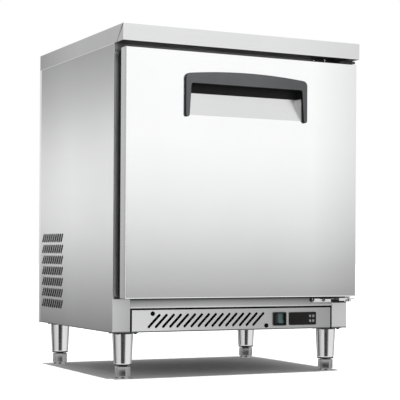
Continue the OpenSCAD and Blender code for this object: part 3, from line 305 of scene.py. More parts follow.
class Shader(Graph):
    """A material under construction."""

    def __init__(self, name: str) -> None:
        """Starts an empty material with one Principled shader.

        Args:
            name: Name of the material.
        """
        self.material = bpy.data.materials.new(name)
        self.material.use_nodes = True
        super().__init__(self.material.node_tree)
        self.tree.nodes.clear()
        self.output = self.node("OutputMaterial")
        self.bsdf = self.node("BsdfPrincipled")
        self.feed(self.output.inputs["Surface"], self.bsdf.outputs["BSDF"])
        self.place = self.node("TexCoord").outputs["Object"]

    @cached_property
    def at(self) -> Sockets:
        """The X, Y and Z of the place."""
        return self.split(self.place)

    @cached_property
    def facing(self) -> Sockets:
        """The masks of the faces by the way they look, in the piece's own directions."""
        return self.group(FACING, Normal=self.node("TexCoord").outputs["Normal"])

    def group(self, effect: Tree, **inputs: object) -> Sockets:
        """Places a shared effect, fills its inputs and returns its outputs.

        Args:
            effect: The shared effect.
            **inputs: Its inputs, each with a value or a socket.

        Returns:
            The outputs.
        """
        made = self.node("Group")
        made.node_tree = effect
        for name, value in inputs.items():
            self.feed(made.inputs[name], value)
        return made.outputs

    def patches(self, scale: float) -> Socket:
        """Soft patches of a scale."""
        return self.group(PATCHES, Vector=self.place, Scale=scale)["Value"]

    def brushed(self, stretch: Point, contrast: float) -> Sockets:
        """Fine lines, on coordinates that are stretched by a scale on each axis."""
        mapping = self.node("Mapping", Vector=self.place, Scale=stretch)
        return self.group(BRUSHED, Vector=mapping.outputs["Vector"], Contrast=contrast)

    def drive(self, **values: object) -> None:
        """Sets numbers on the Principled shader's own sockets, or links sockets to them."""
        for name, value in values.items():
            self.feed(self.bsdf.inputs[name.replace("_", " ")], value)

    def ramp(self, value: Socket, stops: Stops) -> Socket:
        """A level that follows a value.

        Args:
            value: The value's socket.
            stops: Values in rising order, each with its level.

        Returns:
            The level's socket.
        """
        low, high = stops[0][0], stops[-1][0]
        node = self.node("ValToRGB", Fac=self.step(value, low, high))
        elements = node.color_ramp.elements
        while len(elements) < len(stops):
            elements.new(0.5)
        for element, (place, level) in zip(elements, stops):
            element.position = (place - low) / (high - low)
            element.color = (level, level, level, 1.0)
        return node.outputs["Color"]

    def along(self, axis: Axis, stops: Stops) -> Socket:
        """A level that changes along one axis of the frame."""
        return self.ramp(self.at[axis.name], stops)

    def mix(self, share: object, first: object, second: object) -> Socket:
        """A level between two others."""
        return self.node("Mix", Factor=share, A=first, B=second).outputs[0]

    def near(self, value: Socket, middle: float, reach: float) -> Socket:
        """Mask of the places where a value lies within a reach of a middle."""
        return self.math("COMPARE", value, middle, reach)

    def between(self, axis: str, low: float, high: float) -> Socket:
        """Mask of the places between two limits on an axis."""
        return self.near(self.at[axis], (low + high) / 2, (high - low) / 2)

    def tinted(self, colour: Colour, level: Socket) -> Socket:
        """A colour, scaled by a level."""
        return self.vector("MULTIPLY", colour, level)

    def bump(self, height: Socket, strength: float, distance: float) -> None:
        """Lets a height move the shading normal."""
        relief = self.node("Bump", Strength=strength, Distance=distance, Height=height)
        self.drive(Normal=relief.outputs["Normal"])


@dataclass(frozen=True)
class SheetSteel:
    """Brushed stainless sheet, whose tone changes softly along one axis as a painted reflection of the studio, with
    painted highlights on its edges and folds and painted shade on chosen faces.

    Args:
        name: Name of the finish.
        stops: Places in metres, each with its level of the painted reflection.
        axis: The axis that the places lie on.
        grain: The way the brushed lines run.
        roughness: How much the sheet scatters.
        side: Levels of painted shade on the faces that look left or right, from front to back, if they differ.
        under: Level of painted shade on the faces that look down, if it differs.
        over: Level of painted shade on the faces that look up, if it differs.
        cut_shade: Level of the cut walls of its slots, painted near black as shade and not metal, if it differs.
        fold: Level of the painted highlight on its folds and along the rim.
        across: A second axis, along which the painted light and shade change by a factor.
        factors: Places on that axis, each with its factor of painted light and shade.
        rim: The box along whose edges a thin painted highlight runs.
        rim_width: Width of that line.
        mitre: Place of a welded mitre at the front corners, as the Y and Z of its top.
        hem: Height under which the folded hem lies in its own shade.
        vented: Whether the strips between the side vents lie in the shade of their slots.
        flat: Whether the sheet shows the room straight ahead of it.
    """

    name: str
    stops: Stops
    axis: Axis = Axis.Z
    grain: Grain = Grain.ALONG_Z
    roughness: float = 0.3
    side: Stops = ()
    under: float | None = None
    over: float | None = None
    cut_shade: float | None = None
    fold: float = 0.9
    across: Axis = Axis.X
    factors: Stops = ()
    rim: tuple[Point, Point] | None = None
    rim_width: float = 0.0013
    mitre: Flat | None = None
    hem: float | None = None
    vented: bool = False
    flat: bool = False

    def build(self) -> Material:
        """Makes the material.

        Returns:
            The material.
        """
        shader = Shader(self.name)
        facing, metal = shader.facing, 1.0
        level = shader.along(self.axis, self.stops)
        if self.factors:
            level = shader.product(level, shader.along(self.across, self.factors))
        # A thin painted highlight along the edges of the rim's box
        if self.rim:
            low, high = Vector(self.rim[0]), Vector(self.rim[1])
            box = {"Vector": shader.place, "Middle": (low + high) / 2, "Reach": (high - low) / 2}
            edges = shader.group(RIM, Width=self.rim_width, **box)["Mask"]
            level = shader.mix(shader.product(edges, EDGE_HIGHLIGHT_WEIGHT), level, self.fold)
        # Painted shade on the faces that look sideways
        if self.side:
            level = shader.mix(facing["Side"], level, shader.along(Axis.Y, self.side))
        # Painted shade on the faces that look down or up
        for name, tone in (("Under", self.under), ("Over", self.over)):
            if tone is not None:
                level = shader.mix(facing[name], level, tone)
        # Painted shade: the cut walls of the slots are near black and not metal
        if self.cut_shade is not None:
            metal = facing["Ahead"]
            if self.vented:
                metal = shader.math("MAXIMUM", facing["Side"], self.away(shader))
            level = shader.mix(metal, self.cut_shade, level)
        if self.mitre:
            level = shader.mix(self.seam(shader), level, SEAM_TONE)
        # Painted highlight on the folds
        level = shader.mix(shader.product(facing["Fold"], FOLD_HIGHLIGHT_WEIGHT), level, self.fold)
        # Painted shade on the strips between the side vents
        if self.vented:
            level = shader.mix(self.field(shader), level, shader.product(level, STRIP_SHADE))
        # Painted shade on the hem
        if self.hem:
            level = shader.mix(shader.math("LESS_THAN", shader.at["Z"], self.hem), level, HEM_TONE)
        lines = shader.brushed(self.grain.value, contrast=0.07)
        rough = shader.math("MULTIPLY_ADD", shader.patches(scale=5.0), 0.05, self.roughness)
        if self.cut_shade is not None:
            rough = shader.mix(metal, 1.0, rough)
        colour = shader.tinted((0.995, 0.998, 1.0), shader.product(level, lines["Tone"]))
        shader.drive(Metallic=metal, Roughness=rough, Base_Color=colour)
        if self.flat:
            ahead = shader.node("VectorTransform", Vector=(0.0, -1.0, 0.0))
            ahead.vector_type, ahead.convert_from, ahead.convert_to = "NORMAL", "OBJECT", "WORLD"
            shader.drive(Normal=ahead.outputs["Vector"])
        else:
            shader.bump(lines["Height"], strength=0.05, distance=0.0002)
        return shader.material

    @staticmethod
    def away(shader: Shader) -> Socket:
        """Mask of the places that lie outside the box of the side vents."""
        inside = [shader.near(shader.at[a], *box) for a, box in zip("YZ", zip(VENT_MIDDLE, VENT_REACH))]
        return shader.math("SUBTRACT", 1.0, shader.product(*inside))

    @staticmethod
    def field(shader: Shader) -> Socket:
        """Mask of the slanted fields that the rows of side vents fill.

        Args:
            shader: The sheet's material.

        Returns:
            The mask.
        """
        row = shader.math("MODULO", shader.math("SUBTRACT", shader.at["Z"], ROW_START), ROW_PITCH)
        row = shader.math("SUBTRACT", row, ROW_PITCH / 2)
        slanted = shader.math("MULTIPLY_ADD", row, ROW_SLANT, shader.at["Y"])
        masks = (
            shader.near(row, 0.0, ROW_REACH), shader.near(slanted, VENT_MIDDLE[0], STRIP_REACH[0]),
            shader.near(shader.at["Z"], VENT_MIDDLE[1], STRIP_REACH[1]),
        )
        return shader.product(*masks)

    def seam(self, shader: Shader) -> Socket:
        """Mask of the mitre: a fine line at 45 degrees on the faces that look sideways.

        Args:
            shader: The sheet's material.

        Returns:
            The mask.
        """
        run = shader.math("ADD", shader.at["Y"], shader.at["Z"])
        rise = shader.math("SUBTRACT", shader.at["Z"], self.mitre[1] - APRON)
        width = shader.math("MULTIPLY_ADD", rise, SEAM_TAPER, SEAM_WIDTH)
        return shader.product(shader.near(run, sum(self.mitre), width), shader.facing["Side"])


@dataclass(frozen=True)
class PolishedSteel:
    """Bright steel, turned or pressed, with faint lines round it.

    Args:
        name: Name of the finish.
        level: Brightness of the metal.
        roughness: How much it scatters.
        fold: Level of the painted highlight on its upper faces.
        under: Factor of painted shade for the faces that look down.
        shade: Heights under and over which a rolled rim and a flange lie in shade.
        flank_shade: Factor of painted shade for the faces that look neither ahead nor back.
        stops: Factors of painted shade along X, if they differ.
        dark: Parts that reflect the dark under the door, each as X and Z from and to.
    """

    name: str
    level: float = 0.72
    roughness: float = 0.12
    fold: float = 0.95
    under: float = 1.0
    shade: Flat | None = None
    flank_shade: float = 1.0
    stops: Stops = ()
    dark: tuple[tuple[float, float, float, float], ...] = ()

    def build(self) -> Material:
        """Makes the material.

        Returns:
            The material.
        """
        shader = Shader(self.name)
        facing = shader.facing
        lines = shader.brushed((30.0, 30.0, 1400.0), contrast=0.12)
        # Painted highlight on the upper faces, and painted shade on the faces that look down and on the flanks
        level = shader.mix(shader.product(facing["Over"], 0.5), self.level, self.fold)
        under = shader.mix(facing["Under"], 1.0, self.under)
        level = shader.product(level, lines["Tone"], under, shader.mix(facing["Ahead"], self.flank_shade, 1.0))
        # Painted shade on the rolled rim and the flange
        if self.shade:
            level = shader.mix(shader.between("Z", *self.shade), SHADE_TONE, level)
        # Painted shade along X
        if self.stops:
            level = shader.product(level, shader.along(Axis.X, self.stops))
        # Painted reflections of the dark under the door
        for left, right, low, high in self.dark:
            inside = shader.product(shader.between("X", left, right), shader.between("Z", low, high))
            level = shader.mix(inside, level, PAINTED_REFLECTION_TONE)
        rough = shader.math("MULTIPLY_ADD", shader.patches(scale=40.0), 0.06, self.roughness)
        shader.drive(Metallic=1.0, Roughness=rough, Base_Color=shader.tinted((1.0, 1.0, 1.0), level))
        shader.bump(lines["Height"], strength=0.05, distance=0.0001)
        return shader.material


@dataclass(frozen=True)
class CoatedMetal:
    """Metal with patches in its coat: zinc, aluminium, copper or black paint.

    Args:
        name: Name of the finish.
        colour: Its colour.
        metallic: 1 for bare metal and 0 for paint.
        roughness: How much it scatters.
        flakes: Scale of its crystal flakes, or 0 for soft patches.
        contrast: Difference between its patches.
    """

    name: str
    colour: Colour
    metallic: float = 1.0
    roughness: float = 0.4
    flakes: float = 0.0
    contrast: float = 0.2

    def build(self) -> Material:
        """Makes the material.

        Returns:
            The material.
        """
        shader = Shader(self.name)
        effect, scale = (SPANGLE, self.flakes) if self.flakes else (PATCHES, 24.0)
        patch = shader.group(effect, Vector=shader.place, Scale=scale)["Value"]
        level = shader.math("MULTIPLY_ADD", patch, self.contrast, 1.0 - self.contrast / 2)
        rough = shader.math("MULTIPLY_ADD", patch, 0.12, self.roughness)
        shader.drive(Metallic=self.metallic, Roughness=rough, Base_Color=shader.tinted(self.colour, level))
        shader.bump(shader.patches(scale=700.0), strength=0.1, distance=0.0002)
        return shader.material


@dataclass(frozen=True)
class Moulded:
    """Moulded plastic or rubber with a fine skin.

    Args:
        name: Name of the finish.
        colour: Its colour.
        roughness: How much it scatters.
        skin: Strength of the fine relief.
        grain: Scale of the fine relief.
        coat: Weight of the gloss on top.
        painted_edge_highlight: How much lighter its edges are, as a painted highlight.
        shine: Strength of its plain reflection.
        flank_shade: Factor of painted shade for the faces that look neither ahead nor back.
        stops: Factors along X, if they differ.
    """

    name: str
    colour: Colour
    roughness: float = 0.45
    skin: float = 0.15
    grain: float = 1600.0
    coat: float = 0.0
    painted_edge_highlight: float = 0.25
    shine: float = 0.35
    flank_shade: float = 1.0
    stops: Stops = ()

    def build(self) -> Material:
        """Makes the material.

        Returns:
            The material.
        """
        shader = Shader(self.name)
        skin = shader.patches(self.grain)
        level = shader.math("MULTIPLY_ADD", shader.patches(scale=18.0), 0.08, 0.96)
        # Painted highlight on the rounded edges, and painted shade on the flanks
        level = shader.math("MULTIPLY_ADD", shader.facing["Fold"], self.painted_edge_highlight, level)
        level = shader.product(level, shader.mix(shader.facing["Ahead"], self.flank_shade, 1.0))
        if self.stops:
            level = shader.product(level, shader.along(Axis.X, self.stops))
        rough = shader.math("MULTIPLY_ADD", skin, 0.05, self.roughness)
        shader.drive(Roughness=rough, Base_Color=shader.tinted(self.colour, level))
        shader.drive(Coat_Weight=self.coat, Coat_Roughness=0.08, Specular_IOR_Level=self.shine)
        shader.bump(skin, self.skin, distance=0.0001)
        return shader.material


@dataclass(frozen=True)
class Foam:
    """Cut insulation foam with its open cells."""

    name: str
    colour: Colour

    def build(self) -> Material:
        """Makes the material.

        Returns:
            The material.
        """
        shader = Shader(self.name)
        cells = shader.group(SPANGLE, Vector=shader.place, Scale=900.0)["Value"]
        level = shader.math("MULTIPLY_ADD", cells, 0.3, 0.8)
        shader.drive(Roughness=0.95, Base_Color=shader.tinted(self.colour, level))
        shader.bump(cells, strength=0.6, distance=0.0006)
        return shader.material


# Painted reflections and shade set into the tone by height: the door darker towards the bottom, the side sheets
# lightest a little above half way, and the front frame dark in the shade under the door and at the top, with a painted
# highlight on a lip near its top
DOOR_PAINTED_REFLECTIONS = (
    (0.209, 0.46), (0.226, 0.485), (0.246, 0.53), (0.283, 0.59), (0.333, 0.69), (0.407, 0.82), (0.482, 0.91),
    (0.556, 0.97), (0.62, 1.0), (0.841, 1.0),
)
SIDE_PAINTED_REFLECTIONS = (
    (0.12, 0.33), (0.162, 0.43), (0.207, 0.525), (0.263, 0.625), (0.32, 0.71), (0.376, 0.775), (0.43, 0.81),
    (0.49, 0.82), (0.545, 0.795), (0.6, 0.74), (0.66, 0.64), (0.71, 0.54), (0.77, 0.43), (0.825, 0.35), (0.856, 0.31),
)
FRAME_PAINTED_LIGHT_AND_SHADE = (
    (0.17, 0.7), (0.1835, 0.7), (0.1845, 0.5), (0.186, 0.48), (0.19, 0.43), (0.195, 0.36), (0.199, 0.28), (0.202, 0.18),
    (0.204, 0.06), (0.21, 0.04), (0.22, 0.5), (0.8, 0.5), (0.827, 0.35), (0.828, 0.6), (0.834, 0.6), (0.835, 0.08),
    (0.842, 0.2), (0.86, 0.2),
)
WORKTOP_BOX = ((-0.35, -0.311, 0.856), (0.35, 0.319, 0.9))
DOOR_BOX = ((-0.341, -0.311, 0.209), (0.341, -0.277, 0.841))
CARCASS_BOX = ((-0.35, -0.251, 0.12), (0.35, 0.305, 0.856))

FINISHES = (
    # Worktop: painted reflection along X, painted shade on its sides, underside and top, a painted highlight along its
    # edges, and the mitre's dark line
    SheetSteel(
        "worktop_steel", ((-0.35, 0.81), (0.1, 0.81), (0.35, 0.73)), Axis.X, Grain.ALONG_X,
        side=((-0.311, 0.41), (0.0, 0.42), (0.319, 0.27)), under=0.05, over=0.66, rim=WORKTOP_BOX, mitre=(-0.311, 0.9),
    ),
    # Side sheets: painted reflection by height and across, a painted highlight along the edges, and painted shade in
    # the slots, on the hem and between the vents
    SheetSteel(
        "side_steel", SIDE_PAINTED_REFLECTIONS, grain=Grain.ALONG_Y, fold=0.85, across=Axis.Y,
        factors=((-0.251, 1.02), (0.05, 1.04), (0.305, 0.92)), rim=CARCASS_BOX, rim_width=0.001, cut_shade=0.005,
        hem=0.1225, vented=True,
    ),
    # Corner posts: painted reflection across and by height, a painted highlight along the edges and painted shade on
    # the hem
    SheetSteel(
        "post_steel", ((-0.35, 0.62), (-0.302, 0.51), (0.302, 0.60), (0.35, 0.61)), Axis.X, Grain.ALONG_X,
        across=Axis.Z, factors=((0.12, 0.95), (0.206, 1.03)), rim=CARCASS_BOX, hem=0.123,
    ),
    # Right corner post: as the left one, with the painted shadow of the hinge arm across its top
    SheetSteel(
        "post_under_hinge", ((0.302, 0.60), (0.35, 0.61)), Axis.X, Grain.ALONG_X, rim=CARCASS_BOX, hem=0.123,
        across=Axis.Z, factors=((0.12, 1.0), (0.189, 1.0), (0.1898, 0.03), (0.206, 0.03)),
    ),
    # Door skin: painted reflection by height and across, painted shade on its sides and a painted highlight along its
    # edges
    SheetSteel(
        "door_steel", DOOR_PAINTED_REFLECTIONS, roughness=0.2, side=((-0.311, 0.2), (-0.3088, 0.42), (-0.277, 0.52)),
        factors=((-0.341, 0.99), (-0.3, 1.0), (0.2, 0.99), (0.341, 0.81)), rim=DOOR_BOX, rim_width=0.0016, fold=1.0,
    ),
    # Kick panel: painted reflection across, and painted shade in its slots and on the hem
    SheetSteel(
        "kick_steel", ((-0.297, 0.76), (-0.22, 0.73), (-0.1, 0.57), (0.06, 0.48), (0.25, 0.4), (0.297, 0.36)), Axis.X,
        Grain.ALONG_X, cut_shade=0.005, hem=0.123,
    ),
    # Front frame: painted light and shade by height and across, dark in the gaps round the door, bright on the lip in
    # the left gap, and painted shade underneath
    SheetSteel(
        "frame_steel", FRAME_PAINTED_LIGHT_AND_SHADE, grain=Grain.ALONG_X, roughness=0.35, fold=0.6, under=0.05,
        factors=(
            (-0.35, 2.0), (-0.343, 1.7), (-0.337, 0.8), (-0.328, 0.6), (-0.3, 1.1), (-0.1, 1.15), (0.1, 1.05),
            (0.35, 0.75),
        ),
    ),
    SheetSteel("liner_steel", ((0.2, 0.62), (0.85, 0.7)), roughness=0.36, fold=0.75),
    SheetSteel("pan_steel", ((-0.18, 0.75), (0.18, 0.72)), Axis.X, Grain.ALONG_X, fold=0.8, flat=True),
    # Hinge brackets: painted shade at the left end and on the flanks, and painted reflections of the dark under the
    # door
    PolishedSteel(
        "hinge_steel", 0.7, 0.14, flank_shade=0.8, stops=((0.232, 0.04), (0.238, 0.04), (0.24, 1.0), (0.35, 1.0)),
        dark=(
            (0.2, 0.2624, 0.2012, 0.21), (0.2624, 0.2977, 0.2, 0.21), (0.2977, 0.325, 0.18, 0.1998),
            (0.325, 0.342, 0.18, 0.1946),
        ),
    ),
    # Screws: a low level, as painted shade under the door
    PolishedSteel("screw_steel", 0.14, 0.25),
    # Legs: painted shade on the faces that look down, on the rolled rim and on the flange
    PolishedSteel("leg_steel", 0.76, 0.12, under=0.03, shade=(0.038, 0.1155)),
    PolishedSteel("foot_steel", 0.36, 0.22),
    PolishedSteel("wire_steel", 0.72, 0.16),
    # The top hinge bracket: near black, as painted shade in the gap under the worktop
    CoatedMetal("dark_zinc", (0.06, 0.06, 0.065), roughness=0.5),
    CoatedMetal("galvanised_steel", (0.56, 0.58, 0.59), roughness=0.4, flakes=120.0, contrast=0.25),
    # The base pan: near black, as painted shade that keeps the floor's shadow under the object dark
    CoatedMetal("underseal", (0.02, 0.02, 0.021), 0.0, 0.8, contrast=0.3),
    CoatedMetal("fin_aluminium", (0.7, 0.73, 0.76), roughness=0.35, contrast=0.12),
    CoatedMetal("condenser_fins", (0.03, 0.032, 0.036), 0.0, 0.5, contrast=0.4),
    CoatedMetal("compressor_paint", (0.018, 0.018, 0.02), 0.0, 0.28, contrast=0.3),
    CoatedMetal("motor_metal", (0.3, 0.3, 0.31), roughness=0.42),
    CoatedMetal("copper_pipe", (0.72, 0.4, 0.26), roughness=0.28, contrast=0.35),
    # Handle: painted shade on its flanks and towards its right end
    Moulded("handle_plastic", (0.124, 0.128, 0.132), 0.45, shine=0.12, flank_shade=0.04, stops=((0.0, 1.0), (0.17, 0.78))),
    Moulded("black_plastic", (0.010, 0.010, 0.011), 0.4, shine=0.15),
    Moulded("black_gloss", (0.008, 0.008, 0.009), 0.12, skin=0.02, shine=0.15),
    Moulded("window_plastic", (0.009, 0.006, 0.006), 0.06, skin=0.0, shine=0.15),
    Moulded("cap_plastic", (0.003, 0.003, 0.003), 0.6, shine=0.03),
    Moulded("key_plastic", (0.25, 0.26, 0.27), 0.35),
    Moulded(
        "rocker_plastic", (0.045, 0.095, 0.095), 0.12, skin=0.03, coat=0.2,
        stops=((0.1245, 0.08), (0.1305, 0.08), (0.133, 1.0), (0.1425, 1.0), (0.1455, 0.3)),
    ),
    Moulded("grey_plastic", (0.46, 0.47, 0.48), 0.5),
    Moulded("white_plastic", (0.78, 0.79, 0.79), 0.4, painted_edge_highlight=0.0),
    Moulded("fan_plastic", (0.25, 0.26, 0.27), 0.4),
    Moulded("nylon", (0.8, 0.78, 0.72), 0.4, painted_edge_highlight=0.0),
    Moulded("gasket_rubber", (0.010, 0.010, 0.011), 0.62, skin=0.3, grain=900.0, shine=0.1),
    Moulded("black_rubber", (0.02, 0.02, 0.02), 0.7, skin=0.4, grain=900.0, shine=0.2),
    Foam("foam", (0.8, 0.7, 0.42)),
)

# CAD nodes whose finish isn't the one of their slot; the right post's holds a painted shadow, and the base pan's and
# the top hinge bracket's are painted shade
OWN_FINISHES = {
    "corner_post_left": "post_steel", "corner_post_right": "post_under_hinge", "base_pan": "underseal",
    "hinge_bracket_top": "dark_zinc", "kick_caps": "cap_plastic",
}


class Bench:
    """The modelling calls that all sub-assemblies share."""

    merge: float = 1e-6
    finishes: dict[str, Material] = {}

    @staticmethod
    def deselect() -> None:
        """Leaves edit mode and clears the selection."""
        if bpy.context.mode != "OBJECT":
            bpy.ops.object.mode_set(mode="OBJECT")
        bpy.ops.object.select_all(action="DESELECT")

    @classmethod
    def take(cls, piece: Piece) -> Piece:
        """Makes a piece the only one that is selected.

        Args:
            piece: The piece.

        Returns:
            The same piece.
        """
        cls.deselect()
        piece.select_set(True)
        bpy.context.view_layer.objects.active = piece
        return piece

    @classmethod
    @contextmanager
    def editing(cls, piece: Piece) -> Iterator[None]:
        """Opens a piece in edit mode with all of it selected, and closes it again.

        Args:
            piece: The piece.

        Yields:
            Nothing, while the piece is open.
        """
        cls.take(piece)
        bpy.ops.object.mode_set(mode="EDIT")
        bpy.ops.mesh.select_mode(type="VERT")
        bpy.ops.mesh.select_all(action="SELECT")
        yield
        bpy.ops.object.mode_set(mode="OBJECT")

    @staticmethod
    def pick_edges(piece: Piece, test: Callable[[bmesh.types.BMEdge], bool]) -> None:
        """Selects some edges of a piece in edit mode.

        Args:
            piece: The piece that is open in edit mode.
            test: Says whether an edge is selected.
        """
        bpy.ops.mesh.select_mode(type="EDGE")
        bpy.ops.mesh.select_all(action="DESELECT")
        for edge in bmesh.from_edit_mesh(piece.data).edges:
            edge.select_set(test(edge))
        bmesh.update_edit_mesh(piece.data)

    @classmethod
    def settle(cls, piece: Piece) -> Piece:
        """Applies the piece's place, turn and scale to its mesh.

        Args:
            piece: The piece.

        Returns:
            The same piece.
        """
        cls.take(piece)
        bpy.ops.object.transform_apply(location=True, rotation=True, scale=True)
        return piece

    @staticmethod
    def placed(name: str, data: bpy.types.ID) -> Piece:
        """A new object in the scene that holds some data.

        Args:
            name: Its name.
            data: Its mesh, camera or lamp.

        Returns:
            The object.
        """
        piece = bpy.data.objects.new(name, data)
        bpy.context.scene.collection.objects.link(piece)
        return piece

    @classmethod
    def box(cls, low: Sequence[float], high: Sequence[float]) -> Piece:
        """A block between two corners, as a start.

        Args:
            low: The low corner.
            high: The high corner.

        Returns:
            The piece.
        """
        cls.deselect()
        bpy.ops.mesh.primitive_cube_add(size=1, location=(Vector(low) + Vector(high)) / 2)
        bpy.context.object.scale = Vector(high) - Vector(low)
        return cls.settle(bpy.context.object)

    @classmethod
    def rod(cls, start: Sequence[float], axis: Axis, length: float, radius: float, sides: int) -> Piece:
        """A round or many-sided bar that runs from a point along an axis, as a start.

        Args:
            start: Middle of its first end.
            axis: The axis.
            length: Its length.
            radius: Its radius to the corners.
            sides: Number of its sides.

        Returns:
            The piece.
        """
        cls.deselect()
        turns = {Axis.X: (0, math.pi / 2, 0), Axis.Y: (math.pi / 2, 0, 0), Axis.Z: (0, 0, 0)}
        middle = Vector(start) + axis.vector * length / 2
        bpy.ops.mesh.primitive_cylinder_add(
            vertices=sides, radius=radius, depth=length, location=middle, rotation=turns[axis]
        )
        return cls.settle(bpy.context.object)

    @classmethod
    def turned(cls, profile: Sequence[Flat], centre: Sequence[float], axis: Axis, steps: int = 64) -> Piece:
        """Spins a closed profile about an axis.

        Args:
            profile: Distances from the axis and along it, in order round the profile.
            centre: The point on the axis that the distances start from.
            axis: The axis.
            steps: Faces round the axis.

        Returns:
            The piece.
        """
        cls.deselect()
        bpy.ops.mesh.primitive_circle_add(vertices=len(profile), fill_type="NOTHING")
        piece = bpy.context.object
        out = Axis((axis.value + 1) % 3).vector
        for vertex, (distance, along) in zip(piece.data.vertices, profile):
            vertex.co = Vector(centre) + out * distance + axis.vector * along
        with cls.editing(piece):
            bpy.ops.mesh.spin(steps=steps, angle=FULL_TURN, center=centre, axis=axis.vector)
            cls.mend()
        return piece

    @staticmethod
    def mend() -> None:
        """Merges doubles, drops loose edges and turns all faces outwards, in edit mode."""
        bpy.ops.mesh.select_all(action="SELECT")
        bpy.ops.mesh.remove_doubles(threshold=Bench.merge)
        bpy.ops.mesh.dissolve_degenerate(threshold=Bench.merge / 10)
        bpy.ops.mesh.select_all(action="SELECT")
        bpy.ops.mesh.delete_loose(use_verts=True, use_edges=True, use_faces=False)
        bpy.ops.mesh.select_all(action="SELECT")
        bpy.ops.mesh.normals_make_consistent(inside=False)

    @classmethod
    def modify(cls, piece: Piece, kind: str, **settings: object) -> Piece:
        """Adds a modifier and applies it.

        Args:
            piece: The piece.
            kind: Blender's name of the modifier.
            **settings: The modifier's settings.

        Returns:
            The same piece.
        """
        cls.take(piece)
        modifier = piece.modifiers.new(kind.lower(), kind)
        for name, value in settings.items():
            setattr(modifier, name, value)
        bpy.ops.object.modifier_apply(modifier=modifier.name)
        return piece

    @classmethod
    def rounded(cls, piece: Piece, width: float, segments: int = 3, angle: float = 40.0) -> Piece:
        """Rounds the edges that are sharper than an angle.

        Args:
            piece: The piece.
            width: Width of the rounding.
            segments: Steps across it.
            angle: That angle, in degrees.

        Returns:
            The same piece.
        """
        return cls.modify(
            piece, "BEVEL", width=width, segments=segments, limit_method="ANGLE", angle_limit=math.radians(angle),
            use_clamp_overlap=True, miter_outer="MITER_ARC",
        )

    @classmethod
    def copied(cls, node: str) -> Piece:
        """A merged copy of a CAD node, as a start for a finer one.

        Args:
            node: Name of the node.

        Returns:
            The copy.
        """
        piece = cls.take(cls.placed(node + "_copy", frame["nodes"][node].data.copy()))
        bpy.ops.mesh.customdata_custom_splitnormals_clear()
        with cls.editing(piece):
            bpy.ops.mesh.remove_doubles(threshold=2 * cls.merge)
            bpy.ops.mesh.dissolve_limited(angle_limit=math.radians(1.0))
        return piece

    @classmethod
    def twin(cls, piece: Piece, move: Matrix) -> Piece:
        """A copy of a piece with its own mesh, moved.

        Args:
            piece: The piece.
            move: How the copy moves.

        Returns:
            The copy.
        """
        other = cls.placed(piece.name, piece.data.copy())
        other.data.transform(move)
        return other

    @classmethod
    def joined(cls, pieces: Sequence[Piece]) -> Piece:
        """Several meshes as one piece.

        Args:
            pieces: The meshes.

        Returns:
            The piece.
        """
        cls.take(pieces[0])
        for piece in pieces[1:]:
            piece.select_set(True)
        bpy.ops.object.join()
        return bpy.context.object

    @classmethod
    def finish(cls, piece: Piece, name: str, *nodes: str, smooth: float = 35.0) -> None:
        """Names and dresses a finished piece, and sets it in place of its CAD nodes.

        Args:
            piece: The finished mesh.
            name: Name of the piece.
            *nodes: The CAD nodes that it stands for. The first one gives its finish, slot and body.
            smooth: Angle in degrees up to which its edges are shaded smooth.
        """
        cls.settle(piece)
        with cls.editing(piece):
            cls.mend()
        bpy.ops.object.shade_smooth_by_angle(angle=math.radians(smooth))
        slot = frame["nodes"][nodes[0]]["slot_name"]
        piece.name = piece.data.name = name
        piece.data.materials.clear()
        piece.data.materials.append(cls.finishes[OWN_FINISHES.get(nodes[0], slot)])
        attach(piece, frame["nodes"][nodes[0]]["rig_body"])
        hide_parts(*nodes)

    @classmethod
    def soften(cls, rows: Sequence[tuple[str, str, float]], segments: int = 3) -> None:
        """Sets copies with rounded edges in place of CAD nodes, each by its node, its name and the width."""
        for node, name, width in rows:
            cls.finish(cls.rounded(cls.copied(node), width, segments), name, node)


def dress_nodes() -> None:
    """Builds every finish and gives each CAD node its own."""
    Bench.finishes = {finish.name: finish.build() for finish in FINISHES}
    for name, node in frame["nodes"].items():
        slot = node.material_slots[0].material.name.split(".")[0]
        node["slot_name"] = slot
        node.material_slots[0].material = Bench.finishes[OWN_FINISHES.get(name, slot)]


def arc(centre: Flat, radius: float, start: float, end: float, steps: int) -> list[Flat]:
    """Points on an arc between two angles in degrees."""
    angles = [math.radians(start + (end - start) * i / steps) for i in range(steps + 1)]
    return [(centre[0] + radius * math.cos(a), centre[1] + radius * math.sin(a)) for a in angles]


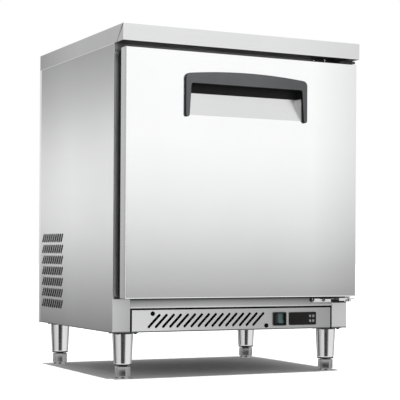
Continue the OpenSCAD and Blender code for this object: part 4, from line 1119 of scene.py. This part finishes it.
@dataclass
class Undercarriage:
    """The four pressed legs and their screw feet."""

    cup_radius: float = 0.027
    rim_radius: float = 0.0232
    bead: float = 0.0016
    wall: float = 0.0015
    cup_floor: float = 0.012
    flange: float = 0.002
    flange_corner: float = 0.006
    bolt_place: float = 0.0245
    bolt_radius: float = 0.0042
    bolt_head: float = 0.003
    bolt_sink: float = 0.0002
    soft: float = 0.0004
    stem_radius: float = 0.0098
    play: float = 0.0003
    thread: float = 0.002
    thread_depth: float = 0.001
    engaged: float = 0.004
    across: float = 0.036
    edge: float = 0.0011
    pad_edge: float = 0.0016
    pad_height: float = 0.006
    gap: float = 0.0022

    def build(self) -> None:
        """Makes all eight pieces."""
        for place in ("front_left", "front_right", "rear_left", "rear_right"):
            self.leg("leg_" + place)
            self.foot("foot_" + place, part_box("leg_" + place)[0].z)

    def leg(self, node: str) -> None:
        """A square flange with four bolts and a spun cup with a rolled rim.

        Args:
            node: The leg's CAD node.
        """
        low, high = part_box(node)
        middle = (low + high) / 2
        rim, bead, wide, top = self.rim_radius, self.bead, self.cup_radius, high.z - low.z - self.flange
        bore = self.stem_radius + self.play
        profile = [
            (bore, 0.0008), (rim - 0.004, 0.0), *arc((rim - bead, bead), bead, -80, 80, 8),
            (rim - 0.0009, 2 * bead + 0.0006), (rim - 0.0004, 2 * bead + 0.003),
            *[(rim + (wide - rim) * i / 4, 0.006 + (top - 0.0075) * i / 4) for i in range(5)],
            (wide + 0.0012, top), (wide - self.wall, top), (rim - self.wall - 0.001, self.cup_floor),
            (bore, self.cup_floor),
        ]
        cup = Bench.turned(profile, (middle.x, middle.y, low.z), Axis.Z, 72)
        plate = Bench.box((low.x, low.y, high.z - self.flange), high)
        with Bench.editing(plate):
            Bench.pick_edges(plate, lambda e: abs(e.verts[0].co.z - e.verts[1].co.z) > self.flange / 2)
            bpy.ops.mesh.bevel(offset=self.flange_corner, segments=6, affect="EDGES")
        bolts = []
        for side in (-self.bolt_place, self.bolt_place):
            for end in (-self.bolt_place, self.bolt_place):
                spot = (middle.x + side, middle.y + end, high.z - self.flange - self.bolt_head)
                bolt = Bench.rod(spot, Axis.Z, self.bolt_head + self.bolt_sink, self.bolt_radius, 6)
                bolts.append(Bench.rounded(bolt, self.soft, 2))
        Bench.finish(Bench.joined([cup, Bench.rounded(plate, self.soft, 2), *bolts]), node + "_pressed", node)

    def foot(self, node: str, leg_z: float) -> None:
        """A six-sided body on a round pad, with a threaded stem.

        Args:
            node: The foot's CAD node.
            leg_z: Height at which its leg ends.
        """
        low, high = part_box(node)
        base = ((low.x + high.x) / 2, (low.y + high.y) / 2, 0.0)
        corner = self.across / 2 / math.cos(math.pi / 6)
        top, edge = self.pad_height, self.pad_edge
        body = Bench.rod((*base[:2], top), Axis.Z, leg_z - top - self.gap, corner, 6)
        with Bench.editing(body):
            bpy.ops.mesh.bevel(offset=self.edge, segments=3, affect="EDGES")
        rim = self.across / 2 - 0.0002
        pad = [
            (0.0, 0.0), (rim - 0.003, 0.0), *arc((rim - edge, edge), edge, -70, 0, 5),
            (rim, top - 0.0006), (rim - 0.0006, top + 0.0004), (0.0, top + 0.0004),
        ]
        start, root = leg_z - self.engaged, self.stem_radius - self.thread_depth
        stem: list[Flat] = [(0.0, start)]
        for turn in range(round((high.z - leg_z) / self.thread)):
            height = start + turn * self.thread
            stem += [(root, height), (self.stem_radius, height + self.thread / 2)]
        stem += [(root, high.z - 0.0015), (root - 0.0015, high.z), (0.0, high.z)]
        parts = [body, Bench.turned(pad, base, Axis.Z), Bench.turned(stem, base, Axis.Z, 40)]
        Bench.finish(Bench.joined(parts), node + "_six_sided", node, smooth=28.0)


@dataclass
class Handle:
    """The arched bar with its two tapered legs."""

    tip_width: float = 0.0118
    top_width: float = 0.0165
    ends_height: float = 0.112
    rise: float = 0.009
    bar: float = 0.026
    corner: float = 0.014
    fillet: float = 0.005
    edge: float = 0.0022
    steps: int = 24

    def outline(self, half: float) -> list[Flat]:
        """The right half and then the left half of the outline, from the tip of the right leg.

        Args:
            half: Half the width of the handle.

        Returns:
            Places across and up, counted from the middle of the handle's bottom.
        """
        tip = self.tip_width / 2
        inner = half - self.top_width - self.fillet
        under = self.ends_height - self.bar
        shoulder = half - self.corner
        outer = arc((half - tip, tip), tip, -90, 0, 8)
        outer += arc((shoulder, self.ends_height - self.corner), self.corner, 0, 86, 10)
        for i in range(1, self.steps + 1):
            x = shoulder * (1 - i / self.steps)
            outer.append((x, self.ends_height + self.rise * (1 - (x / shoulder) ** 2)))
        inside = arc((inner, under - self.fillet), self.fillet, 90, 0, 8) + arc((half - tip, tip), tip, 180, 262, 7)
        left = [(-x, z) for x, z in reversed(outer[:-1])]
        return outer + left + [(-x, z) for x, z in reversed(inside)] + inside

    def build(self) -> None:
        """Draws the outline, gives it thickness and rolls its front edge."""
        low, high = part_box("handle_bezel")
        points = self.outline((high.x - low.x) / 2)
        Bench.deselect()
        bpy.ops.mesh.primitive_circle_add(vertices=len(points), fill_type="NGON")
        bar = bpy.context.object
        for vertex, (x, z) in zip(bar.data.vertices, points):
            vertex.co = (x, high.y, low.z + z)
        front = low.y
        with Bench.editing(bar):
            bpy.ops.mesh.extrude_region_move(TRANSFORM_OT_translate={"value": (0, front - high.y, 0)})
            Bench.pick_edges(bar, lambda e: all(abs(v.co.y - front) < Bench.merge for v in e.verts))
            bpy.ops.mesh.bevel(offset=self.edge, segments=6, affect="EDGES", clamp_overlap=False)
        Bench.finish(bar, "handle_arch", "handle_bezel", smooth=50.0)


@dataclass
class ControlPanel:
    """The switch, the controller, its keys and the two screw caps."""

    cap_radius: float = 0.006
    cap_rise: float = 0.0026
    cap_edge: float = 0.0008
    shank_radius: float = 0.0024
    shank: float = 0.010

    def build(self) -> None:
        """Makes each piece of the panel."""
        self.caps()
        Bench.soften((
            ("switch_bezel", "switch_frame", 0.0008), ("controller_case", "controller_front", 0.0009),
            ("controller_window", "controller_pane", 0.0002), ("button_set", "set_key_cap", 0.0005),
            ("button_defrost", "defrost_key_cap", 0.0005), ("button_up", "up_key_cap", 0.0005),
            ("button_down", "down_key_cap", 0.0005), ("switch_rocker", "rocker_cap", 0.0006),
        ))

    def caps(self) -> None:
        """Two domed caps with a dimple, each on its shank."""
        low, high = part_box("kick_caps")
        r, rise, edge, shank = self.cap_radius, self.cap_rise, self.cap_edge, self.shank_radius
        profile = [
            (0.0, self.shank), (shank, self.shank), (shank, 0.0), (r, 0.0), *arc((r - edge, -edge), edge, 0, -70, 4),
            (r - 0.0022, 0.0002 - rise), (0.0015, -rise), (0.0011, 0.0007 - rise), (0.0, 0.0008 - rise),
        ]
        face = high.y - self.shank
        middles = ((low.x + r, face, high.z - r), (high.x - r, face, low.z + r))
        Bench.finish(Bench.joined([Bench.turned(profile, m, Axis.Y, 48) for m in middles]), "screw_caps", "kick_caps")


@dataclass
class SlottedSheets:
    """The side sheets and the kick panel, whose slots have the wide, clean mouths that the photograph shows."""

    pitch: float = 0.0173
    row: float = 0.031
    columns: int = 10
    rows: int = 7
    lean: float = math.radians(122.0)
    last: Flat = (0.281, 0.174)
    vent: Flat = (0.026, 0.0055)
    vent_spread: float = 0.0021
    vent_lift: float = 0.0043
    slots: int = 16
    slot_pitch: float = 0.0204
    slot_lean: float = math.radians(45.0)
    first: Flat = (-0.235, 0.1485)
    slot: Flat = (0.048, 0.006)
    slot_spread: float = 0.0006
    near: float = 0.0002

    def build(self) -> None:
        """Makes the three sheets."""
        vents = [
            Vector((self.last[0] - self.pitch * i, self.last[1] + self.row * j))
            for i in range(self.columns) for j in range(self.rows)
        ]
        for side in ("left", "right"):
            panel = Bench.copied("side_panel_" + side)
            self.widen(panel, Axis.Y, vents, self.lean, self.vent, self.vent_spread, self.vent_lift)
            Bench.finish(panel, "side_sheet_" + side, "side_panel_" + side)
        slots = [Vector((self.first[0] + self.slot_pitch * i, self.first[1])) for i in range(self.slots)]
        kick = Bench.copied("kick_panel")
        self.widen(kick, Axis.X, slots, self.slot_lean, self.slot, self.slot_spread)
        Bench.finish(kick, "kick_sheet", "kick_panel")

    def widen(
        self, piece: Piece, across: Axis, middles: Sequence[Vector], turn: float, size: Flat, spread: float,
        lift: float = 0.0,
    ) -> None:
        """Moves the walls of slots away from their middle lines.

        Args:
            piece: The sheet.
            across: The sheet's level axis.
            middles: Middles of the slots, across and up.
            turn: Angle of the slots to that axis.
            size: Length and width of a slot.
            spread: How far each wall moves.
            lift: How far each slot moves up.
        """
        line = Vector((math.cos(turn), math.sin(turn)))
        half = (size[0] - size[1]) / 2
        for vertex in piece.data.vertices:
            place = Vector((vertex.co[across.value], vertex.co.z))
            offs = [place - m - line * max(-half, min(half, (place - m).dot(line))) for m in middles]
            off = min(offs, key=lambda step: step.length_squared)
            if 0 < off.length < size[1] / 2 + self.near:
                move = off.normalized() * spread
                vertex.co[across.value] += move.x
                vertex.co.z += move.y + lift


@dataclass
class Hinges:
    """The two hinge brackets and the screws that hold them."""

    edge: float = 0.0006
    head_radius: float = 0.005
    head_rise: float = 0.0028
    shank: float = 0.003
    cross: float = 0.0055
    recess: float = 0.0011
    recess_floor: float = 0.0014

    def build(self) -> None:
        """Rounds the brackets and makes the screws."""
        Bench.soften((
            ("hinge_bracket_bottom", "hinge_bracket_bottom_polished", self.edge),
            ("hinge_bracket_top", "hinge_bracket_top_polished", self.edge), ("hinge_bushes", "bushes_nylon", 0.0004),
        ))
        self.screws()

    def screws(self) -> None:
        """Domed heads with a cross recess, one at each hole of the brackets."""
        low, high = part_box("hinge_screws")
        r, shank, face = self.head_radius, self.shank, high.y - self.shank
        dome = [math.radians(angle) for angle in range(15, 91, 15)]
        profile = [
            (0.0, shank), (shank, shank), (shank, 0.0), (r, 0.0),
            *[(r * math.cos(angle), -self.head_rise * math.sin(angle)) for angle in dome],
        ]
        heads = []
        for x in (low.x + r, high.x - r):
            for z in (low.z + r, high.z - r):
                heads.append(Bench.turned(profile, (x, face, z), Axis.Y, 40))
                for wide, tall in ((self.cross / 2, self.recess / 2), (self.recess / 2, self.cross / 2)):
                    start = (x - wide, face - 0.004, z - tall)
                    cutter = Bench.box(start, (x + wide, face - self.recess_floor, z + tall))
                    Bench.modify(heads[-1], "BOOLEAN", operation="DIFFERENCE", object=cutter)
                    bpy.data.objects.remove(cutter)
        Bench.finish(Bench.joined(heads), "bracket_screws", "hinge_screws")


@dataclass
class DoorBack:
    """The seal and the formed inner plate of the door."""

    seal_edge: float = 0.0009
    plate_edge: float = 0.0016

    def build(self) -> None:
        """Rounds the folds of the seal and of the inner plate."""
        Bench.soften((("door_gasket", "door_seal", self.seal_edge),))
        Bench.soften((("door_liner", "door_inner_plate", self.plate_edge),), 4)


@dataclass
class Shelf:
    """A wire shelf: two side rods, cross rods and fine wires."""

    node: str
    rod: float = 0.004
    cross: float = 0.0035
    wire: float = 0.0025
    inset: float = 0.001
    wires: int = 22
    cross_rods: int = 4

    def build(self) -> None:
        """Makes the rods with rounded ends and joins them."""
        low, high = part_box(self.node)
        level = low.z + self.rod
        length = high.y - low.y
        sides = (low.x + self.rod, high.x - self.rod)
        parts = [self.bar((x, low.y, level), Axis.Y, length, self.rod) for x in sides]
        for i in range(self.cross_rods):
            y = low.y + self.rod + (length - 2 * self.rod) * i / (self.cross_rods - 1)
            parts.append(self.bar((sides[0], y, level), Axis.X, sides[1] - sides[0], self.cross))
        reach = high.x - 4 * self.rod
        start = (-reach, low.y + self.inset, high.z - self.wire)
        first = self.bar(start, Axis.Y, length - 2 * self.inset, self.wire)
        step = 2 * reach / (self.wires - 1)
        parts += [first] + [Bench.twin(first, Matrix.Translation((step * i, 0, 0))) for i in range(1, self.wires)]
        Bench.finish(Bench.joined(parts), self.node + "_wires", self.node)

    @staticmethod
    def bar(start: Sequence[float], axis: Axis, length: float, radius: float) -> Piece:
        """A round bar with soft ends."""
        return Bench.rounded(Bench.rod(start, axis, length, radius, 16), radius * 0.5, 2, 60.0)


@dataclass
class Fan:
    """A fan with cupped, twisted blades round its hub.

    Args:
        node: The CAD node.
        name: Name of the piece.
        axis: Its axis.
        hub: Radius of the hub.
        bore: Radius of the shaft's bore.
        blades: Number of blades.
        thick: Thickness of a blade.
        edge: Radius of the hub's front edge.
        width: Half the angle that a blade spans at its root, and how much more at its tip, in degrees.
        sweep: How far the tip leans forward, in degrees.
        pitch: Rise of half a blade at its root, and how much less at its tip, as shares of the depth.
        cup: Bulge of a blade's middle, as a share of the depth.
        root: Where a blade starts, as a share of the hub's radius.
        corner: How much the tip's corners fall back, as a share of the radius.
        grid: Points across and along a blade.
    """

    node: str
    name: str
    axis: Axis
    hub: float
    bore: float
    blades: int = 5
    thick: float = 0.0014
    edge: float = 0.003
    width: Flat = (27.0, 5.0)
    sweep: float = 12.0
    pitch: Flat = (0.40, 0.14)
    cup: float = 0.07
    root: float = 0.92
    corner: float = 0.07
    grid: tuple[int, int] = (13, 9)

    def build(self) -> None:
        """Makes the hub and one blade, and repeats the blade."""
        low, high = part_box(self.node)
        base = (low + high) / 2
        base[self.axis.value] = low[self.axis.value]
        size = high - low
        depth = size[self.axis.value]
        radius = max(size[i] for i in range(3) if i != self.axis.value) / 2
        hub, edge = self.hub, self.edge
        profile = [
            (self.bore, 0.0), (hub - edge, 0.0), *arc((hub - edge, edge), edge, -90, 0, 5),
            (hub, depth - 0.001), (hub - 0.001, depth), (self.bore, depth),
        ]
        parts = [Bench.turned(profile, base, self.axis, 56)]
        blade = self.blade(base, depth, radius)
        for i in range(self.blades):
            turn = Matrix.Rotation(FULL_TURN * i / self.blades, 4, self.axis.vector)
            parts.append(Bench.twin(blade, Matrix.Translation(base) @ turn @ Matrix.Translation(-base)))
        bpy.data.objects.remove(blade)
        Bench.finish(Bench.joined(parts), self.name, self.node, smooth=45.0)

    def blade(self, base: Vector, depth: float, radius: float) -> Piece:
        """One blade: a grid bent to its pitch and cup, and given thickness.

        Args:
            base: The point on the axis at the foot of the hub.
            depth: Depth of the fan.
            radius: Its radius.

        Returns:
            The blade.
        """
        Bench.deselect()
        across, along = self.grid
        bpy.ops.mesh.primitive_grid_add(x_subdivisions=across - 1, y_subdivisions=along - 1, size=2)
        piece = bpy.context.object
        side = Axis((self.axis.value + 1) % 3).vector
        up = self.axis.vector.cross(side)
        root = self.hub * self.root
        for vertex in piece.data.vertices:
            u, v = vertex.co.x, (vertex.co.y + 1) / 2
            spread = math.radians((self.width[0] + self.width[1] * v) * u + self.sweep * v * v)
            tip = radius * (1 - self.corner * u * u * v) - self.thick * 0.6
            rise = 0.5 + (self.pitch[0] - self.pitch[1] * v) * u + self.cup * (1 - u * u)
            lift = min(max(depth * rise, self.thick), depth - self.thick)
            turn = Matrix.Rotation(spread, 3, self.axis.vector)
            vertex.co = base + self.axis.vector * lift + turn @ (up * (root + (tip - root) * v))
        return Bench.modify(piece, "SOLIDIFY", thickness=self.thick, offset=0.0)


@dataclass
class Machinery:
    """The cooling system: its pieces that only need softer edges, its pipes and its two fans."""

    def build(self) -> None:
        """Rounds each piece by its own width, smooths the pipes and makes the fans."""
        Bench.soften((
            ("compressor", "compressor_shell", 0.0008), ("drain_tray", "melt_water_tray", 0.0008),
            ("cable_gland", "gland_body", 0.0006), ("compressor_grommets", "grommets_rubber", 0.0008),
            ("evaporator_fan_motor", "cabin_motor", 0.0006), ("condenser_fan_motor", "cooling_motor", 0.0006),
            ("evaporator_cover", "cooler_cover", 0.0004), ("shelf_clips", "clips_pressed", 0.0003),
        ), 2)
        for node in ("discharge_pipe", "liquid_line", "suction_pipe"):
            Bench.finish(Bench.copied(node), node + "_drawn", node, smooth=50.0)
        Fan("evaporator_fan", "cabin_fan_blades", Axis.Y, 0.014, 0.00306).build()
        Fan("condenser_fan", "cooling_fan_blades", Axis.X, 0.018, 0.00406).build()


@dataclass
class Studio:
    """Camera, floor, light and the flags that polished steel reflects."""

    eye: Point = (-1.5883, -3.2624, 0.3254)
    heading: float = math.radians(26.237)
    roll: float = math.radians(0.354)
    lens: float = 115.31
    sensor: float = 36.0
    rise: float = 0.1317
    soft_light: float = 0.55
    overhead: float = 2.9
    sun_size: float = math.radians(0.8)
    floor_size: float = 60.0
    floor_tone: float = 0.92
    ring_radius: float = 9.0
    ring: Flat = (-3.95, 0.25)
    levels: Stops = (
        (-180, 0.1), (-168, 0.1), (-160, 0.8), (-148, 0.7), (-141, 0.03), (-120, 0.2), (-94, 0.75), (-48, 0.9),
        (-41, 0.05), (-18, 0.05), (-2, 0.12), (6, 0.5), (14, 1.0), (70, 1.0), (82, 0.85), (104, 0.5), (150, 0.15),
        (180, 0.15),
    )
    casters: tuple[str, ...] = ("base_pan", "side_panel_left", "side_panel_right", "bottom_panel", "kick_panel")

    def build(self) -> None:
        """Sets up everything round the object."""
        bpy.context.scene.view_settings.view_transform = "Standard"
        self.camera()
        self.world()
        self.floor()
        self.sun()
        self.flags()

    def camera(self) -> None:
        """The photograph's viewpoint, level, with its horizon below the middle of the picture."""
        camera = bpy.data.cameras.new("camera")
        camera.lens, camera.sensor_width, camera.shift_y = self.lens, self.sensor, self.rise
        holder = Bench.placed("camera", camera)
        turn = Euler((math.pi / 2, 0, -self.heading)).to_matrix() @ Matrix.Rotation(self.roll, 3, "Z")
        holder.matrix_world = Matrix.Translation(self.eye) @ turn.to_4x4()
        bpy.context.scene.camera = holder

    def world(self) -> None:
        """White for the camera, reflections and glass, and a softer light on the object."""
        world = bpy.context.scene.world = bpy.data.worlds.new("studio")
        world.use_nodes = True
        graph = Graph(world.node_tree)
        rays = graph.node("LightPath").outputs
        seen = graph.math("MAXIMUM", rays["Is Camera Ray"], rays["Is Glossy Ray"])
        seen = graph.math("MAXIMUM", seen, rays["Is Transmission Ray"])
        sky = graph.tree.nodes["Background"].inputs
        graph.feed(sky["Color"], (1.0, 1.0, 1.0, 1.0))
        graph.feed(sky["Strength"], graph.math("MULTIPLY_ADD", seen, 1.0 - self.soft_light, self.soft_light))

    def floor(self) -> None:
        """A plain white floor that keeps the object's shadow."""
        Bench.deselect()
        bpy.ops.mesh.primitive_plane_add(size=self.floor_size)
        floor = bpy.context.object
        floor.name = "floor"
        shader = Shader("floor_paint")
        shader.drive(Base_Color=(*[self.floor_tone] * 3, 1.0), Roughness=1.0, Specular_IOR_Level=0.0)
        floor.data.materials.append(shader.material)
        floor.visible_glossy = False

    def sun(self) -> None:
        """Light from straight above, which draws the shadow under the object."""
        lamp = bpy.data.lights.new("overhead", "SUN")
        lamp.energy, lamp.angle = self.overhead, self.sun_size
        casters = bpy.data.collections.new("shadow_casters")
        for name in self.casters:
            casters.objects.link(frame["nodes"][name])
        Bench.placed("overhead", lamp).light_linking.blocker_collection = casters

    def flags(self) -> None:
        """A ring below the horizon with dark and light fields, seen only in reflections.

        Each of the levels stands at its angle in degrees, counted from the front of the object to the right.
        """
        Bench.deselect()
        low, high = self.ring
        bpy.ops.mesh.primitive_cylinder_add(
            vertices=96, radius=self.ring_radius, depth=high - low, location=(0, 0, (low + high) / 2),
            end_fill_type="NOTHING",
        )
        ring = Bench.settle(bpy.context.object)
        ring.name = "flags"
        shader = Shader("flag_cloth")
        turn = shader.math("ARCTAN2", shader.at["X"], shader.math("MULTIPLY", shader.at["Y"], -1.0))
        level = shader.ramp(shader.math("DEGREES", turn), self.levels)
        glow = shader.node("Emission", Color=level, Strength=1.0)
        shader.feed(shader.output.inputs["Surface"], glow.outputs["Emission"])
        ring.data.materials.append(shader.material)
        for ray in ("camera", "diffuse", "transmission", "volume_scatter", "shadow"):
            setattr(ring, "visible_" + ray, False)


def main() -> None:
    """Builds the studio and every sub-assembly in order."""
    logging.basicConfig(level=logging.INFO, format="%(name)s: %(message)s")
    Studio().build()
    dress_nodes()
    Handle().build()
    ControlPanel().build()
    Undercarriage().build()
    SlottedSheets().build()
    Hinges().build()
    DoorBack().build()
    Shelf("shelf_upper").build()
    Shelf("shelf_lower").build()
    Machinery().build()
    Bench.deselect()


if __name__ == "__main__":
    main()
